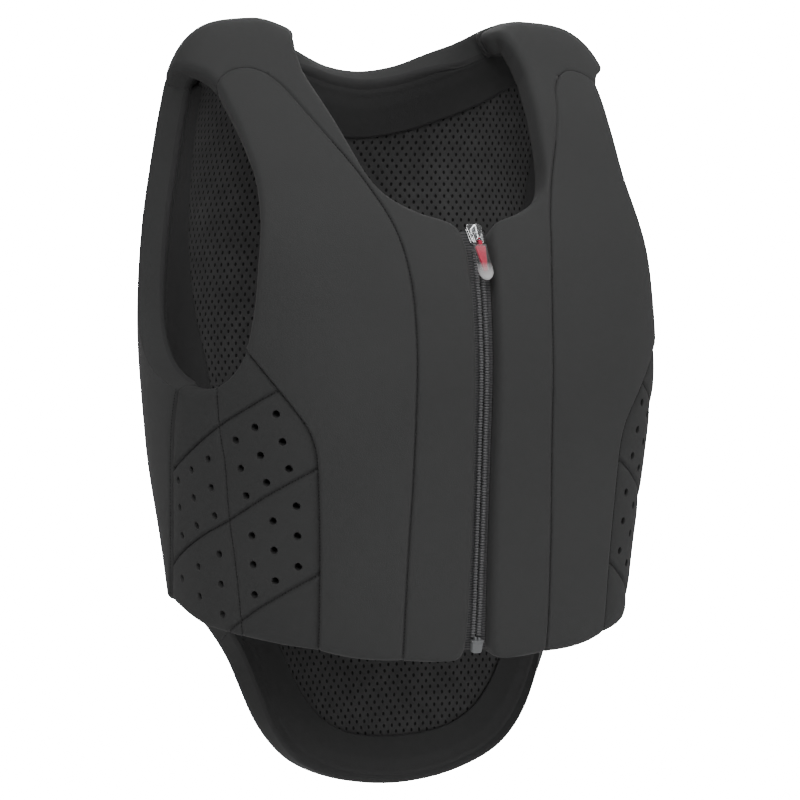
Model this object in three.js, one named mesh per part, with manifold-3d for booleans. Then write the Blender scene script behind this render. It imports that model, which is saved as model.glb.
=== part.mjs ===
// A women's riding body protector: a padded, zip-up vest with a long tail, in the shape it has when worn.
// Millimetres. +X is the wearer's left, the front faces -Y, +Z is up, and the origin is midway between
// the undersides of the two shoulder straps.
//
// Every soft panel lies on one torso surface, shell(turn, rise). The turn is in degrees round the body
// from the middle of the front towards the wearer's left, so 180 is the middle of the back. The rise runs
// from 0 at the tip of the tail to 1 on top of the shoulders.
import * as THREE from 'three';
import { mergeVertices } from 'three/addons/utils/BufferGeometryUtils.js';
import Module from 'manifold-3d';

// driving sizes
const drop = 600;
const halfWidth = 193;
const frontDepth = 148;
const backDepth = 128;
const setForward = 37;
const crown = { out: 109, neck: 68, dip: 18 };
const tailSwing = { side: 34, from: 320, to: 490, behind: 98, square: 138 };
const wall = 20;
const sideWall = 14;
const sideSunk = 3;
const strapTop = wall;
const edgeRound = { out: 6, in: 4 };
const seamGap = 1.4;
const layGap = 0.5;
const lining = 1.4;
const hole = { radius: 2.8, facets: 6 };
const groove = { width: 2.6, depth: 2.2 };
const zip = { depth: 8.8, tape: 1.5, foot: 0.283, top: 0.724, lowTooth: 0.2985, highTooth: 0.7045, teeth: 34 };
const coil = { rib: 6, ribTall: 3.6, cord: 3.2, front: 5.8, back: 8.1 };
const endBox = { rise: 0.2895, width: 9.6, height: 11, front: 3.4, back: 8.1, corner: 1.6 };
const slider = { rise: 0.7185, width: 10.6, height: 15, front: 4.2, back: 8.1, corner: 2.6 };
const bridge = { wide: 2.4, foot: 4.6, rise: 4.6, bar: 1.3 };
const link = { wide: 8.4, tall: 9.6, bar: 1.4 };
const core = { wide: 5, tall: 19, thick: 2.2, eye: 1.9, eyeBore: 1.25, eyeWide: 4.6 };
const cover = { wide: 9.6, tall: 27, thick: 4, below: 5, clear: 0.3 };

const { Manifold, Mesh: SolidMesh } = await startSolids();

// torso sections: width, depths and the middle are shares of the driving sizes, drop is the share of the
// full drop below the strap top, and the fullness squares the oval off at its quarters
const sections = [
  { rise: 0.00, drop: 1.000, width: 0.78, middle: 1.00, front: 0.74, back: 0.64, frontFull: 0.10, backFull: 0.20 },
  { rise: 0.14, drop: 0.883, width: 0.83, middle: 1.00, front: 0.85, back: 0.72, frontFull: 0.10, backFull: 0.24 },
  { rise: 0.28, drop: 0.750, width: 0.885, middle: 1.00, front: 0.965, back: 0.83, frontFull: 0.12, backFull: 0.28 },
  { rise: 0.38, drop: 0.633, width: 0.922, middle: 1.00, front: 0.99, back: 0.90, frontFull: 0.12, backFull: 0.30 },
  { rise: 0.50, drop: 0.500, width: 0.968, middle: 1.00, front: 1.00, back: 0.96, frontFull: 0.13, backFull: 0.30 },
  { rise: 0.60, drop: 0.383, width: 1.00, middle: 1.00, front: 0.99, back: 1.00, frontFull: 0.14, backFull: 0.28 },
  { rise: 0.70, drop: 0.267, width: 1.00, middle: 0.92, front: 0.905, back: 0.95, frontFull: 0.14, backFull: 0.24 },
  { rise: 0.78, drop: 0.180, width: 0.972, middle: 0.70, front: 0.716, back: 0.835, frontFull: 0.14, backFull: 0.20 },
  { rise: 0.84, drop: 0.117, width: 0.948, middle: 0.49, front: 0.54, back: 0.67, frontFull: 0.12, backFull: 0.16 },
  { rise: 0.89, drop: 0.063, width: 0.904, middle: 0.27, front: 0.338, back: 0.485, frontFull: 0.10, backFull: 0.12 },
  { rise: 0.93, drop: 0.025, width: 0.823, middle: 0.135, front: 0.203, back: 0.3125, frontFull: 0.08, backFull: 0.08 },
  { rise: 0.96, drop: 0.0065, width: 0.695, middle: 0.054, front: 0.115, back: 0.18, frontFull: 0.05, backFull: 0.05 },
  { rise: 1.00, drop: 0.000, width: 0.363, middle: 0.00, front: 0.047, back: 0.055, frontFull: 0.00, backFull: 0.00 },
];

// pattern lines of one side, drawn with the turn as its size away from the middle of the front
const line = (...points) => points.map(([turn, rise]) => ({ turn, rise }));
const zipEdge = line([6.4, 0.2745], [4.6, 0.2755], [3.4, 0.281], [2.9, 0.294], [2.5, 0.33], [2.2, 0.42],
  [2.2, 0.56], [2.3, 0.64], [2.5, 0.69], [2.8, 0.711], [3.5, 0.7225], [4.8, 0.7295], [6.6, 0.7335]);
const neckFront = line([6.6, 0.7335], [10, 0.739], [14.2, 0.750], [17.6, 0.764], [19.8, 0.782], [21.3, 0.804],
  [23.4, 0.835], [26, 0.866], [28.6, 0.892], [30, 0.915], [31.5, 0.936], [34.8, 0.955], [40.4, 0.970],
  [47, 0.980], [57, 0.988], [72, 0.994], [90, 0.9962], [108, 0.9935], [122, 0.9885]);
const neckBack = line([122, 0.9885], [134, 0.979], [144, 0.964], [153, 0.944], [160, 0.922], [167, 0.903],
  [173, 0.892], [180, 0.887]);
const princess = line([17.6, 0.2755], [17.2, 0.33], [16.4, 0.40], [15.5, 0.46], [14.7, 0.53], [14.2, 0.60],
  [14.4, 0.65], [15.2, 0.69], [16.8, 0.728], [19.2, 0.758], [22.4, 0.788], [27, 0.822], [32, 0.855],
  [35.2, 0.873], [39.5, 0.886]);
const tongue = line([39.5, 0.886], [44, 0.8915], [49, 0.891], [53.6, 0.885], [57.6, 0.874]);
const strapEdge = line([57.6, 0.874], [63, 0.884], [71, 0.889], [81, 0.889], [90, 0.886], [98, 0.880], [106, 0.868]);
const yoke = line([106, 0.868], [112.5, 0.905], [117.5, 0.946], [122, 0.9885]);
const armFront = line([54.4, 0.597], [51.6, 0.64], [50, 0.684], [48.2, 0.728], [48, 0.774], [51, 0.822],
  [54.4, 0.852], [57.6, 0.874]);
const armBack = line([82, 0.549], [90.5, 0.556], [98.5, 0.569], [106, 0.594], [111, 0.63], [113.4, 0.68],
  [114, 0.74], [113.4, 0.80], [111, 0.842], [106, 0.868]);
const armBottom = line([54.4, 0.597], [59, 0.573], [65.5, 0.556], [73.5, 0.549], [82, 0.549]);
const sideFront = line([38.4, 0.287], [37.8, 0.34], [37.2, 0.40], [36.8, 0.46], [37, 0.497], [38.8, 0.521],
  [43, 0.545], [48.5, 0.571], [54.4, 0.597]);
const sideBack = line([101, 0.312], [96.5, 0.355], [93.6, 0.395], [91, 0.435], [88.6, 0.475], [86, 0.513],
  [82, 0.549]);
const hemFront = line([6.4, 0.2745], [12, 0.2735], [17.6, 0.2755]);
const hemMiddle = line([17.6, 0.2755], [25, 0.277], [32, 0.281], [38.4, 0.287]);
const hemSide = line([38.4, 0.287], [47, 0.291], [58, 0.296], [70, 0.300], [80, 0.304], [92, 0.314], [101, 0.3195]);
const grooves = [
  line([62.3, 0.290], [63.5, 0.368], [64.5, 0.415], [64.5, 0.478], [65.5, 0.512], [65.5, 0.565]),
  line([91, 0.455], [82, 0.476], [66, 0.515], [56, 0.536], [44, 0.562]),
  line([99, 0.347], [88, 0.369], [75, 0.395], [64.5, 0.415], [50, 0.449], [34.5, 0.484]),
  line([71, 0.288], [66, 0.303], [57, 0.325], [47, 0.346], [35.5, 0.370]),
];
// corners of each field of holes, 3 by 3: the front and back ends of its top and bottom rows
const holeFields = [
  { topFront: [70, 0.480], topBack: [85.4, 0.449], lowFront: [69.4, 0.418], lowBack: [86, 0.388], rows: [3, 3, 3] },
  { topFront: [46.8, 0.534], topBack: [59.4, 0.504], lowFront: [44.2, 0.478], lowBack: [57.4, 0.445], rows: [3, 3, 3] },
  { topFront: [42.8, 0.438], topBack: [56.4, 0.402], lowFront: [43.2, 0.373], lowBack: [56.8, 0.341], rows: [3, 3, 3] },
  { topFront: [68.6, 0.377], topBack: [88, 0.342], lowFront: [69, 0.316], lowBack: [89, 0.281], rows: [3, 2, 1] },
];
const tailEdge = line([101, 0.312], [108, 0.309], [115, 0.303], [121.5, 0.290], [127, 0.270], [131, 0.243],
  [134.5, 0.210], [137.5, 0.172], [141, 0.132], [145.5, 0.097], [151.5, 0.067], [160, 0.043], [169.5, 0.027],
  [180, 0.021]);

async function startSolids() {
  const wasm = await Module();
  wasm.setup();
  return wasm;
}

// a smooth curve through the rows of a table, read in one column
function read(table, key, at, column) {
  let i = 0;
  while (i < table.length - 2 && table[i + 1][key] <= at) i += 1;
  const slope = (n) => {
    const a = table[Math.max(n - 1, 0)];
    const b = table[Math.min(n + 1, table.length - 1)];
    return (b[column] - a[column]) / (b[key] - a[key]);
  };
  const span = table[i + 1][key] - table[i][key];
  const t = (at - table[i][key]) / span;
  const near = (1 + 2 * t) * (1 - t) ** 2 * table[i][column] + t * (1 - t) ** 2 * span * slope(i);
  return near + t * t * (3 - 2 * t) * table[i + 1][column] + t * t * (t - 1) * span * slope(i + 1);
}

const clamp = THREE.MathUtils.clamp;
const smoothstep = THREE.MathUtils.smoothstep;

// the outer face of the vest
function shell(turn, rise) {
  const at = (column) => read(sections, 'rise', rise, column);
  const angle = THREE.MathUtils.degToRad(turn);
  const sin = Math.sin(angle);
  const cos = Math.cos(angle);
  const depth = cos > 0 ? frontDepth * at('front') : backDepth * at('back');
  const full = cos > 0 ? at('frontFull') : at('backFull');
  const x = halfWidth * at('width') * sin * (1 + full * cos * cos);
  const y = -setForward * at('middle') - depth * cos * (1 + full * sin * sin);
  const below = drop * at('drop');
  const aside = turn > 180 ? 360 - turn : turn;
  const swing = tailSwing.side * smoothstep(below, tailSwing.from, tailSwing.to)
    * smoothstep(aside, tailSwing.behind, tailSwing.square);
  const inside = (crown.out - Math.max(Math.abs(x), crown.neck)) / (crown.out - crown.neck);
  const dip = crown.dip * smoothstep(rise, 0.90, 0.985) * clamp(inside, 0, 1) ** 1.7;
  return new THREE.Vector3(x + swing, y, strapTop - below - dip);
}

function outward(turn, rise) {
  const along = shell(turn + 0.2, rise).sub(shell(turn - 0.2, rise));
  const up = shell(turn, rise + 0.0008).sub(shell(turn, rise - 0.0008));
  return along.cross(up).normalize();
}

// a point sunk below the outer face
function sunk(turn, rise, depth) {
  return shell(turn, rise).addScaledVector(outward(turn, rise), -depth);
}

const mix = (a, b, t) => ({ turn: a.turn + (b.turn - a.turn) * t, rise: a.rise + (b.rise - a.rise) * t });
const gapBetween = (a, b) => shell(a.turn, a.rise).distanceTo(shell(b.turn, b.rise));
const mirrored = (points) => points.map(({ turn, rise }) => ({ turn: 360 - turn, rise }));
const bothWays = (points) => joined(points, [...mirrored(points)].reverse());
const joined = (...lines) => lines.flatMap((points, i) => (i ? points.slice(1) : points));

// even steps, by length, along a smooth curve through the points of a pattern line
function steps(points, count) {
  const curve = new THREE.CatmullRomCurve3(points.map((p) => new THREE.Vector3(p.turn / 60, p.rise * 5, 0)));
  const fine = Array.from({ length: 161 }, (_, i) => {
    const p = curve.getPoint(i / 160);
    return { turn: p.x * 60, rise: p.y / 5 };
  });
  const reach = [0];
  for (let i = 1; i < fine.length; i += 1) reach.push(reach[i - 1] + gapBetween(fine[i - 1], fine[i]));
  const total = reach[reach.length - 1];
  return Array.from({ length: count + 1 }, (_, k) => {
    const want = (total * k) / count;
    let i = 1;
    while (i < fine.length - 1 && reach[i] < want) i += 1;
    return mix(fine[i - 1], fine[i], clamp((want - reach[i - 1]) / (reach[i] - reach[i - 1]), 0, 1));
  });
}

// a net of pattern points filling the space between four edges
function fill(south, north, west, east) {
  const cols = south.length - 1;
  const rows = west.length - 1;
  return west.map((w, j) => south.map((_, i) => {
    const s = i / cols;
    const t = j / rows;
    const across = mix(w, east[j], s);
    const upward = mix(south[i], north[i], t);
    const corners = mix(mix(south[0], south[cols], s), mix(north[0], north[cols], s), t);
    return { turn: across.turn + upward.turn - corners.turn, rise: across.rise + upward.rise - corners.rise };
  }));
}

// the marks beside an edge: how far in each lies, in roundings, and its share of the edge's rounding
const freeMarks = [{ in: 0, share: 1 }, { in: 0.293, share: 0.707 }, { in: 1, share: 0 }];
const flatMarks = [{ in: 0.02, share: 0 }, { in: 0.293, share: 0 }, { in: 1, share: 0 }];

// a step across the face, square to the line from before to after, on the side where towards lies
function squareStep(at, before, after, towards, far) {
  const run = shell(after.turn, after.rise).sub(shell(before.turn, before.rise)).normalize();
  const inner = shell(towards.turn, towards.rise).sub(shell(at.turn, at.rise));
  inner.addScaledVector(run, -inner.dot(run)).normalize().multiplyScalar(far);
  const h = { turn: 0.05, rise: 0.0003 };
  const byTurn = shell(at.turn + h.turn, at.rise).sub(shell(at.turn - h.turn, at.rise)).divideScalar(2 * h.turn);
  const byRise = shell(at.turn, at.rise + h.rise).sub(shell(at.turn, at.rise - h.rise)).divideScalar(2 * h.rise);
  const [tt, tr, rr] = [byTurn.dot(byTurn), byTurn.dot(byRise), byRise.dot(byRise)];
  const [it, ir] = [inner.dot(byTurn), inner.dot(byRise)];
  const area = tt * rr - tr * tr;
  return { turn: at.turn + (it * rr - ir * tr) / area, rise: at.rise + (ir * tt - it * tr) / area };
}

// the nodes that stand for the end of a row at a, on the way to b; the edge runs from before to after
function rowEnd(a, b, kind, marks, before, after) {
  const far = gapBetween(a, b);
  if (kind === 'open') return [{ ...a, share: a.share ?? 0 }];
  const seamNode = { ...squareStep(a, before, after, b, seamGap / 2), share: 0 };
  if (marks === 1) return [seamNode];
  const list = kind === 'free' ? freeMarks : flatMarks;
  return list.map((mark, n) => {
    if (kind === 'seam' && n === 0) return seamNode;
    return { ...mix(a, b, (mark.in * edgeRound.out) / far), share: mark.share };
  });
}

// a row with both ends dressed; its middle keeps its own shares
function dressedRow(net, k, first, last, marksFirst, marksLast) {
  const row = net[k];
  const before = net[Math.max(k - 1, 0)];
  const after = net[Math.min(k + 1, net.length - 1)];
  const n = row.length - 1;
  const middle = row.slice(1, n).map((p) => ({ ...p, share: p.share ?? 0 }));
  return [
    ...rowEnd(row[0], row[1], first, marksFirst, before[0], after[0]),
    ...middle,
    ...rowEnd(row[n], row[n - 1], last, marksLast, before[n], after[n]).reverse(),
  ];
}

const asRule = (kind) => (typeof kind === 'function' ? kind : () => kind);

// a net with its edges dressed; an edge is 'free', 'seam' or 'open', or a rule that says which by index
function dress(net, edges) {
  const rule = Object.fromEntries(Object.entries(edges).map(([edge, kind]) => [edge, asRule(kind)]));
  const marks = (edge, count) => {
    const kinds = Array.from({ length: count }, (_, k) => rule[edge](k));
    return kinds.includes('free') ? 3 : 1;
  };
  const westMarks = marks('west', net.length);
  const eastMarks = marks('east', net.length);
  const wide = net.map((_, j) => dressedRow(net, j, rule.west(j), rule.east(j), westMarks, eastMarks));
  const count = wide[0].length;
  const southMarks = marks('south', count);
  const northMarks = marks('north', count);
  const columns = wide[0].map((_, i) => wide.map((row) => row[i]));
  const plain = columns.map((column) => column.map(({ turn, rise }) => ({ turn, rise })));
  const tall = columns.map((column, i) => {
    const dressed = dressedRow(plain, i, rule.south(i), rule.north(i), southMarks, northMarks);
    const acrossAt = (k) => {
      if (k < southMarks) return column[0].share;
      if (k >= dressed.length - northMarks) return column[column.length - 1].share;
      return column[k - southMarks + 1].share;
    };
    return dressed.map((p, k) => ({ ...p, share: Math.min(1, Math.hypot(p.share, acrossAt(k))) }));
  });
  return tall[0].map((_, k) => tall.map((column) => column[k]));
}

// a closed pad over dressed nets that share nodes where they meet; out and into are its two depths
function pad(nets, out, into, roundOut = edgeRound.out, roundIn = edgeRound.in) {
  const index = new Map();
  const nodes = [];
  const number = (node) => {
    if (!index.has(node)) {
      index.set(node, nodes.length);
      nodes.push(node);
    }
    return index.get(node);
  };
  const quads = [];
  for (const net of nets) {
    for (let j = 0; j < net.length - 1; j += 1) {
      for (let i = 0; i < net[0].length - 1; i += 1) {
        quads.push([net[j][i], net[j][i + 1], net[j + 1][i + 1], net[j + 1][i]].map(number));
      }
    }
  }
  const turned = (node) => 1 - Math.sqrt(1 - node.share * node.share);
  const outer = nodes.map((n) => sunk(n.turn, n.rise, out + roundOut * turned(n)));
  const inner = nodes.map((n) => sunk(n.turn, n.rise, into - roundIn * turned(n)));
  return closedQuads(quads, outer, inner);
}

// two faces made of the same quads, closed by walls along every edge that only one quad has
function closedQuads(quads, outer, inner) {
  // both neighbours at a seam split their wall quads along the same diagonal, read off this direction
  const across = new THREE.Vector3(0.37, 0.61, 1);
  const far = outer.length;
  const faces = [];
  const quad = (a, b, c, d) => faces.push(a, b, c, a, c, d);
  const used = new Set(quads.flatMap((q) => q.map((a, k) => `${a},${q[(k + 1) % 4]}`)));
  for (const q of quads) {
    quad(...q);
    const [a, b, c, d] = q.map((k) => far + k);
    faces.push(a, c, b, a, d, c);
    q.forEach((a, k) => {
      const b = q[(k + 1) % 4];
      if (used.has(`${b},${a}`)) return;
      if (across.dot(outer[a]) < across.dot(outer[b])) quad(b, a, far + a, far + b);
      else quad(a, far + a, far + b, b);
    });
  }
  return closedGeometry([...outer, ...inner], faces);
}

// a closed geometry from points and triangles, turned so that its faces point out
function closedGeometry(points, faces) {
  const a = new THREE.Vector3();
  let volume = 0;
  for (let i = 0; i < faces.length; i += 3) {
    const [p, q, r] = [points[faces[i]], points[faces[i + 1]], points[faces[i + 2]]];
    volume += a.copy(p).cross(q).dot(r);
  }
  const order = volume < 0 ? faces.slice().reverse() : faces;
  const geometry = new THREE.BufferGeometry();
  geometry.setAttribute('position', new THREE.Float32BufferAttribute(points.flatMap((p) => p.toArray()), 3));
  geometry.setIndex(order);
  geometry.computeVertexNormals();
  return geometry;
}

// cutting and joining
function solid(geometry) {
  const bare = geometry.clone();
  bare.deleteAttribute('normal');
  bare.deleteAttribute('uv');
  const merged = mergeVertices(bare, 1e-4);
  return new Manifold(new SolidMesh({
    numProp: 3,
    vertProperties: new Float32Array(merged.attributes.position.array),
    triVerts: new Uint32Array(merged.index.array),
  }));
}

function geometryOf(body) {
  const mesh = body.getMesh();
  const geometry = new THREE.BufferGeometry();
  geometry.setAttribute('position', new THREE.Float32BufferAttribute(mesh.vertProperties, 3));
  geometry.setIndex(Array.from(mesh.triVerts));
  geometry.computeVertexNormals();
  return geometry;
}

const less = (geometry, ...cuts) => geometryOf(cuts.reduce((body, cut) => body.subtract(solid(cut)), solid(geometry)));
const plus = (geometry, ...more) => geometryOf(more.reduce((body, next) => body.add(solid(next)), solid(geometry)));

// looks
const looks = {
  shellCloth: { color: 0x4a4c4b, roughness: 0.85 },
  sideCloth: { color: 0x3c3d3d, roughness: 0.9 },
  facingCloth: { color: 0x2c2c2d, roughness: 0.8 },
  meshCloth: { color: 0x1d1d1e, roughness: 0.95 },
  tapeCloth: { color: 0x2a2a2b, roughness: 0.9 },
  coil: { color: 0x3a3a3b, roughness: 0.6 },
  metal: { color: 0xb9bbbd, roughness: 0.25, metalness: 1 },
  grip: { color: 0xb3122f, roughness: 0.4 },
  clear: { color: 0xe9ecef, roughness: 0.15 },
  boxPlastic: { color: 0x77797a, roughness: 0.4 },
};

const vest = new THREE.Group();

function place(name, geometry, look, parent = vest) {
  const mesh = new THREE.Mesh(geometry, new THREE.MeshStandardMaterial(looks[look]));
  mesh.name = name;
  parent.add(mesh);
  return mesh;
}

const sides = [{ name: 'right', side: mirrored }, { name: 'left', side: (points) => points }];

// the seams' shared stations, so that neighbours meet node to node
const tongueFoot = { turn: 28.6, rise: 0.892 };
const stations = {
  princess: steps(princess, 15),
  tongue: steps(tongue, 3),
  strapEdge: steps(strapEdge, 5),
  sideFront: steps(sideFront, 7),
  armFront: steps(armFront, 8),
  sideBack: steps(sideBack, 7),
  armBack: steps(armBack, 8),
  yoke: steps(yoke, 6),
};

// the part of a pattern line before, and the part after, one of its points
const upTo = (points, end) => points.slice(0, points.findIndex((p) => p.turn === end.turn) + 1);
const onFrom = (points, start) => points.slice(points.findIndex((p) => p.turn === start.turn));

// the front centre panel has a net up the chest and a wider one over the shoulder, from the tongue to the yoke
function centreNets(side) {
  const westLow = joined(steps(zipEdge, 9), steps(upTo(neckFront, tongueFoot), 6));
  const across = steps([tongueFoot, princess[princess.length - 1]], 3);
  const lowNet = fill(steps(hemFront, 3), across, westLow, stations.princess);
  const low = dress(lowNet.map(side), { west: 'free', east: 'seam', south: 'free', north: 'open' });
  const top = low[low.length - 1];
  const strapSouth = joined(across, stations.tongue);
  const westHigh = steps(onFrom(neckFront, tongueFoot), 5);
  const highNet = fill(strapSouth, [...stations.yoke].reverse(), westHigh, stations.strapEdge);
  const meets = (i) => (i < top.length ? 'open' : 'seam');
  const high = dress(highNet.map(side), { west: 'free', east: 'free', south: meets, north: 'seam' });
  top.forEach((node, i) => { high[0][i] = node; });
  return [low, high];
}

function frontSideNet(side) {
  const east = joined(stations.sideFront, stations.armFront);
  const net = fill(steps(hemMiddle, 3), stations.tongue, stations.princess, east);
  const seamLow = (j) => (j < stations.sideFront.length ? 'seam' : 'free');
  return dress(net.map(side), { west: 'seam', east: seamLow, south: 'free', north: 'seam' });
}

function sidePad(side) {
  const net = fill(steps(hemSide, 4), steps(armBottom, 4), stations.sideFront, stations.sideBack);
  const grid = dress(net.map(side), { west: 'seam', east: 'seam', south: 'free', north: 'free' });
  return pad([grid], sideSunk, sideSunk + sideWall, 4, 3);
}

function backNet() {
  const west = joined(stations.sideBack, stations.armBack);
  const tail = steps(bothWays(tailEdge), 20);
  const neck = steps(bothWays(neckBack), 8);
  const north = joined(stations.yoke, neck, [...mirrored(stations.yoke)].reverse());
  const net = fill(tail, north, west, mirrored(west));
  const seamLow = (j) => (j < stations.sideBack.length ? 'seam' : 'free');
  const reach = stations.yoke.length + 2;
  const last = north.length + 3;
  const seamEnds = (i) => (i < reach || i > last - reach ? 'seam' : 'free');
  return dress(net, { west: seamLow, east: seamLow, south: 'free', north: seamEnds });
}

// a cutter that leaves a V-shaped groove along a pattern line of the side panel
function grooveCutter(points) {
  const nodes = steps(points, 5);
  const top = sideSunk - 0.5;
  const half = (groove.width / 2) * (1 + 0.5 / groove.depth);
  const rings = nodes.map((node, k) => {
    const before = nodes[Math.max(k - 1, 0)];
    const after = nodes[Math.min(k + 1, nodes.length - 1)];
    const towards = { turn: node.turn + 1.5, rise: node.rise + 0.01 };
    const away = { turn: node.turn - 1.5, rise: node.rise - 0.01 };
    const near = squareStep(node, before, after, towards, half);
    const far = squareStep(node, before, after, away, half);
    return [near, far, node].map((p, c) => sunk(p.turn, p.rise, c < 2 ? top : sideSunk + groove.depth));
  });
  return ringsToSolid(rings);
}

// a solid whose cross-sections are rings of points
function ringsToSolid(rings) {
  const around = rings[0].length;
  const faces = [];
  for (let k = 0; k < rings.length - 1; k += 1) {
    for (let c = 0; c < around; c += 1) {
      const a = k * around + c;
      const b = k * around + ((c + 1) % around);
      faces.push(a, b, b + around, a, b + around, a + around);
    }
  }
  const last = (rings.length - 1) * around;
  for (let c = 1; c < around - 1; c += 1) {
    faces.push(0, c + 1, c, last, last + c, last + c + 1);
  }
  return closedGeometry(rings.flat(), faces);
}

// axes on the face of the vest: across, up along the face, and out of it
function stand(turn, rise, depth, side = 1) {
  const out = outward(turn, rise);
  const level = new THREE.Vector3(side * Math.cos(THREE.MathUtils.degToRad(turn)), 0, 0);
  const across = level.addScaledVector(out, -level.dot(out)).normalize();
  const up = new THREE.Vector3().crossVectors(out, across);
  return new THREE.Matrix4().makeBasis(across, up, out).setPosition(sunk(turn, rise, depth));
}

function holeCutter(turn, rise) {
  const out = outward(turn, rise);
  const pin = new THREE.CylinderGeometry(hole.radius, hole.radius, sideWall + 4, hole.facets);
  pin.applyQuaternion(new THREE.Quaternion().setFromUnitVectors(new THREE.Vector3(0, 1, 0), out));
  const at = sunk(turn, rise, sideSunk + sideWall / 2);
  return pin.translate(at.x, at.y, at.z);
}

function holePlaces() {
  return holeFields.flatMap(({ topFront, topBack, lowFront, lowBack, rows }) => {
    const [a, b, c, d] = line(topFront, topBack, lowFront, lowBack);
    return rows.flatMap((count, j) => Array.from({ length: count }, (_, i) => {
      const along = i / 2;
      return mix(mix(a, b, along), mix(c, d, along), j / 2);
    }));
  });
}

function sidePanel(side) {
  const cutters = [
    ...grooves.map((points) => grooveCutter(side(points))),
    ...side(holePlaces()).map(({ turn, rise }) => holeCutter(turn, rise)),
  ];
  return less(sidePad(side), ...cutters);
}

// a net's nodes with no rounding
const flatNet = (net) => net.map((row) => row.map((node) => ({ ...node, share: 0 })));

// thin cloth on the inside of the pads, from a depth below the outer face
const insideCloth = (net, from) => pad([flatNet(net)], from, from + lining, 0, 0);

// cells of a net, from one row and column to another; a lining uses the pad's own net without the marks of
// its rounded edges
const cells = (net, rows, columns) => net.slice(rows.from, rows.to + 1)
  .map((row) => row.slice(columns.from, columns.to + 1));

// the back lining narrows above the armholes
// the rows and columns of the back's net that each inner piece covers, counted from the tail's tip and from
// the wearer's left side seam
const backRows = {
  lining: { from: 2, to: 13 }, liningTop: { from: 13, to: 16 }, neck: { from: 16, to: 17 }, tail: { from: 2, to: 3 },
  armhole: { from: 9, to: 13 },
};
const backColumns = {
  lining: { from: 3, to: 21 }, neck: { from: 9, to: 15 }, tail: { from: 2, to: 22 }, armholeLeft: { from: 3, to: 6 },
  armholeRight: { from: 18, to: 21 },
};

function backLining() {
  const net = flatNet(backNet());
  const wide = cells(net, backRows.lining, backColumns.lining);
  const narrow = cells(net, backRows.liningTop, backColumns.neck);
  return pad([wide, narrow], wall + layGap, wall + layGap + lining, 0, 0);
}

function frontLining(side) {
  const [low] = centreNets(side);
  const beside = frontSideNet(side);
  const net = low.map((row, j) => [...row, ...beside[j]]);
  const [rows, columns] = [{ from: 2, to: net.length - 1 }, { from: 2, to: net[0].length - 3 }];
  return insideCloth(cells(net, rows, columns), wall + layGap);
}

// the tail and armhole facings lie on the back lining
const onLining = (rows, columns) => insideCloth(cells(backNet(), rows, columns), wall + 2 * layGap + lining);

// the neck facing lies on the pad, just above the lining
function neckFacing() {
  const [low, high] = cells(backNet(), backRows.neck, backColumns.neck);
  return insideCloth([low.map((node, i) => mix(node, high[i], 0.04)), high], wall + layGap);
}

// the zip
function zipTape(side) {
  const west = steps(line([0.3, zip.foot], [0.3, 0.5], [0.3, zip.top]), 11);
  const east = steps(line([2.7, zip.foot], [2.35, 0.31], [2.1, 0.36], [1.95, 0.42], [1.95, 0.56], [2.05, 0.64],
    [2.25, 0.69], [2.5, zip.top]), 11);
  const net = fill([west[0], east[0]], [west[11], east[11]], west, east);
  return pad([net.map(side).map((row) => row.map((p) => ({ ...p, share: 0 })))], zip.depth, zip.depth + zip.tape, 0, 0);
}

const mid = (part) => (part.front + part.back) / 2;
const thickness = (part) => part.back - part.front;

function coilChain() {
  const rises = steps(line([0, zip.lowTooth], [0, 0.5], [0, zip.highTooth]), zip.teeth);
  const cord = rises.filter((_, k) => k % 2 === 0).map(({ rise }) => {
    const at = stand(0, rise, mid(coil));
    const corners = [[-1, -1], [1, -1], [1, 1], [-1, 1]];
    return corners.map(([x, z]) => new THREE.Vector3((x * coil.cord) / 2, 0, (z * thickness(coil)) / 2.6)
      .applyMatrix4(at));
  });
  const ribs = rises.slice(1, -1).map(({ rise }) => new THREE.BoxGeometry(coil.rib, coil.ribTall, thickness(coil))
    .applyMatrix4(stand(0, rise, mid(coil))));
  return plus(ringsToSolid(cord), ...ribs);
}

// a flat plate with rounded corners and softened edges, centred, facing out
function plate(width, height, thick, corner, soften) {
  const [w, h] = [width / 2 - soften, height / 2 - soften];
  const r = Math.max(corner - soften, 0.1);
  const shape = new THREE.Shape();
  shape.moveTo(-w + r, -h);
  shape.lineTo(w - r, -h);
  shape.absarc(w - r, -h + r, r, -Math.PI / 2, 0);
  shape.absarc(w - r, h - r, r, 0, Math.PI / 2);
  shape.absarc(-w + r, h - r, r, Math.PI / 2, Math.PI);
  shape.absarc(-w + r, -h + r, r, Math.PI, Math.PI * 1.5);
  return new THREE.ExtrudeGeometry(shape, {
    depth: thick - 2 * soften, bevelEnabled: true, bevelSize: soften, bevelThickness: soften, bevelSegments: 1,
    curveSegments: 2,
  }).translate(0, 0, -thick / 2 + soften);
}

// a bar across, lying along the vest's own left to right
function crossBar(radius, length, up, out) {
  return new THREE.CylinderGeometry(radius, radius, length, 8).rotateZ(Math.PI / 2).translate(0, up, out);
}

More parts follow.
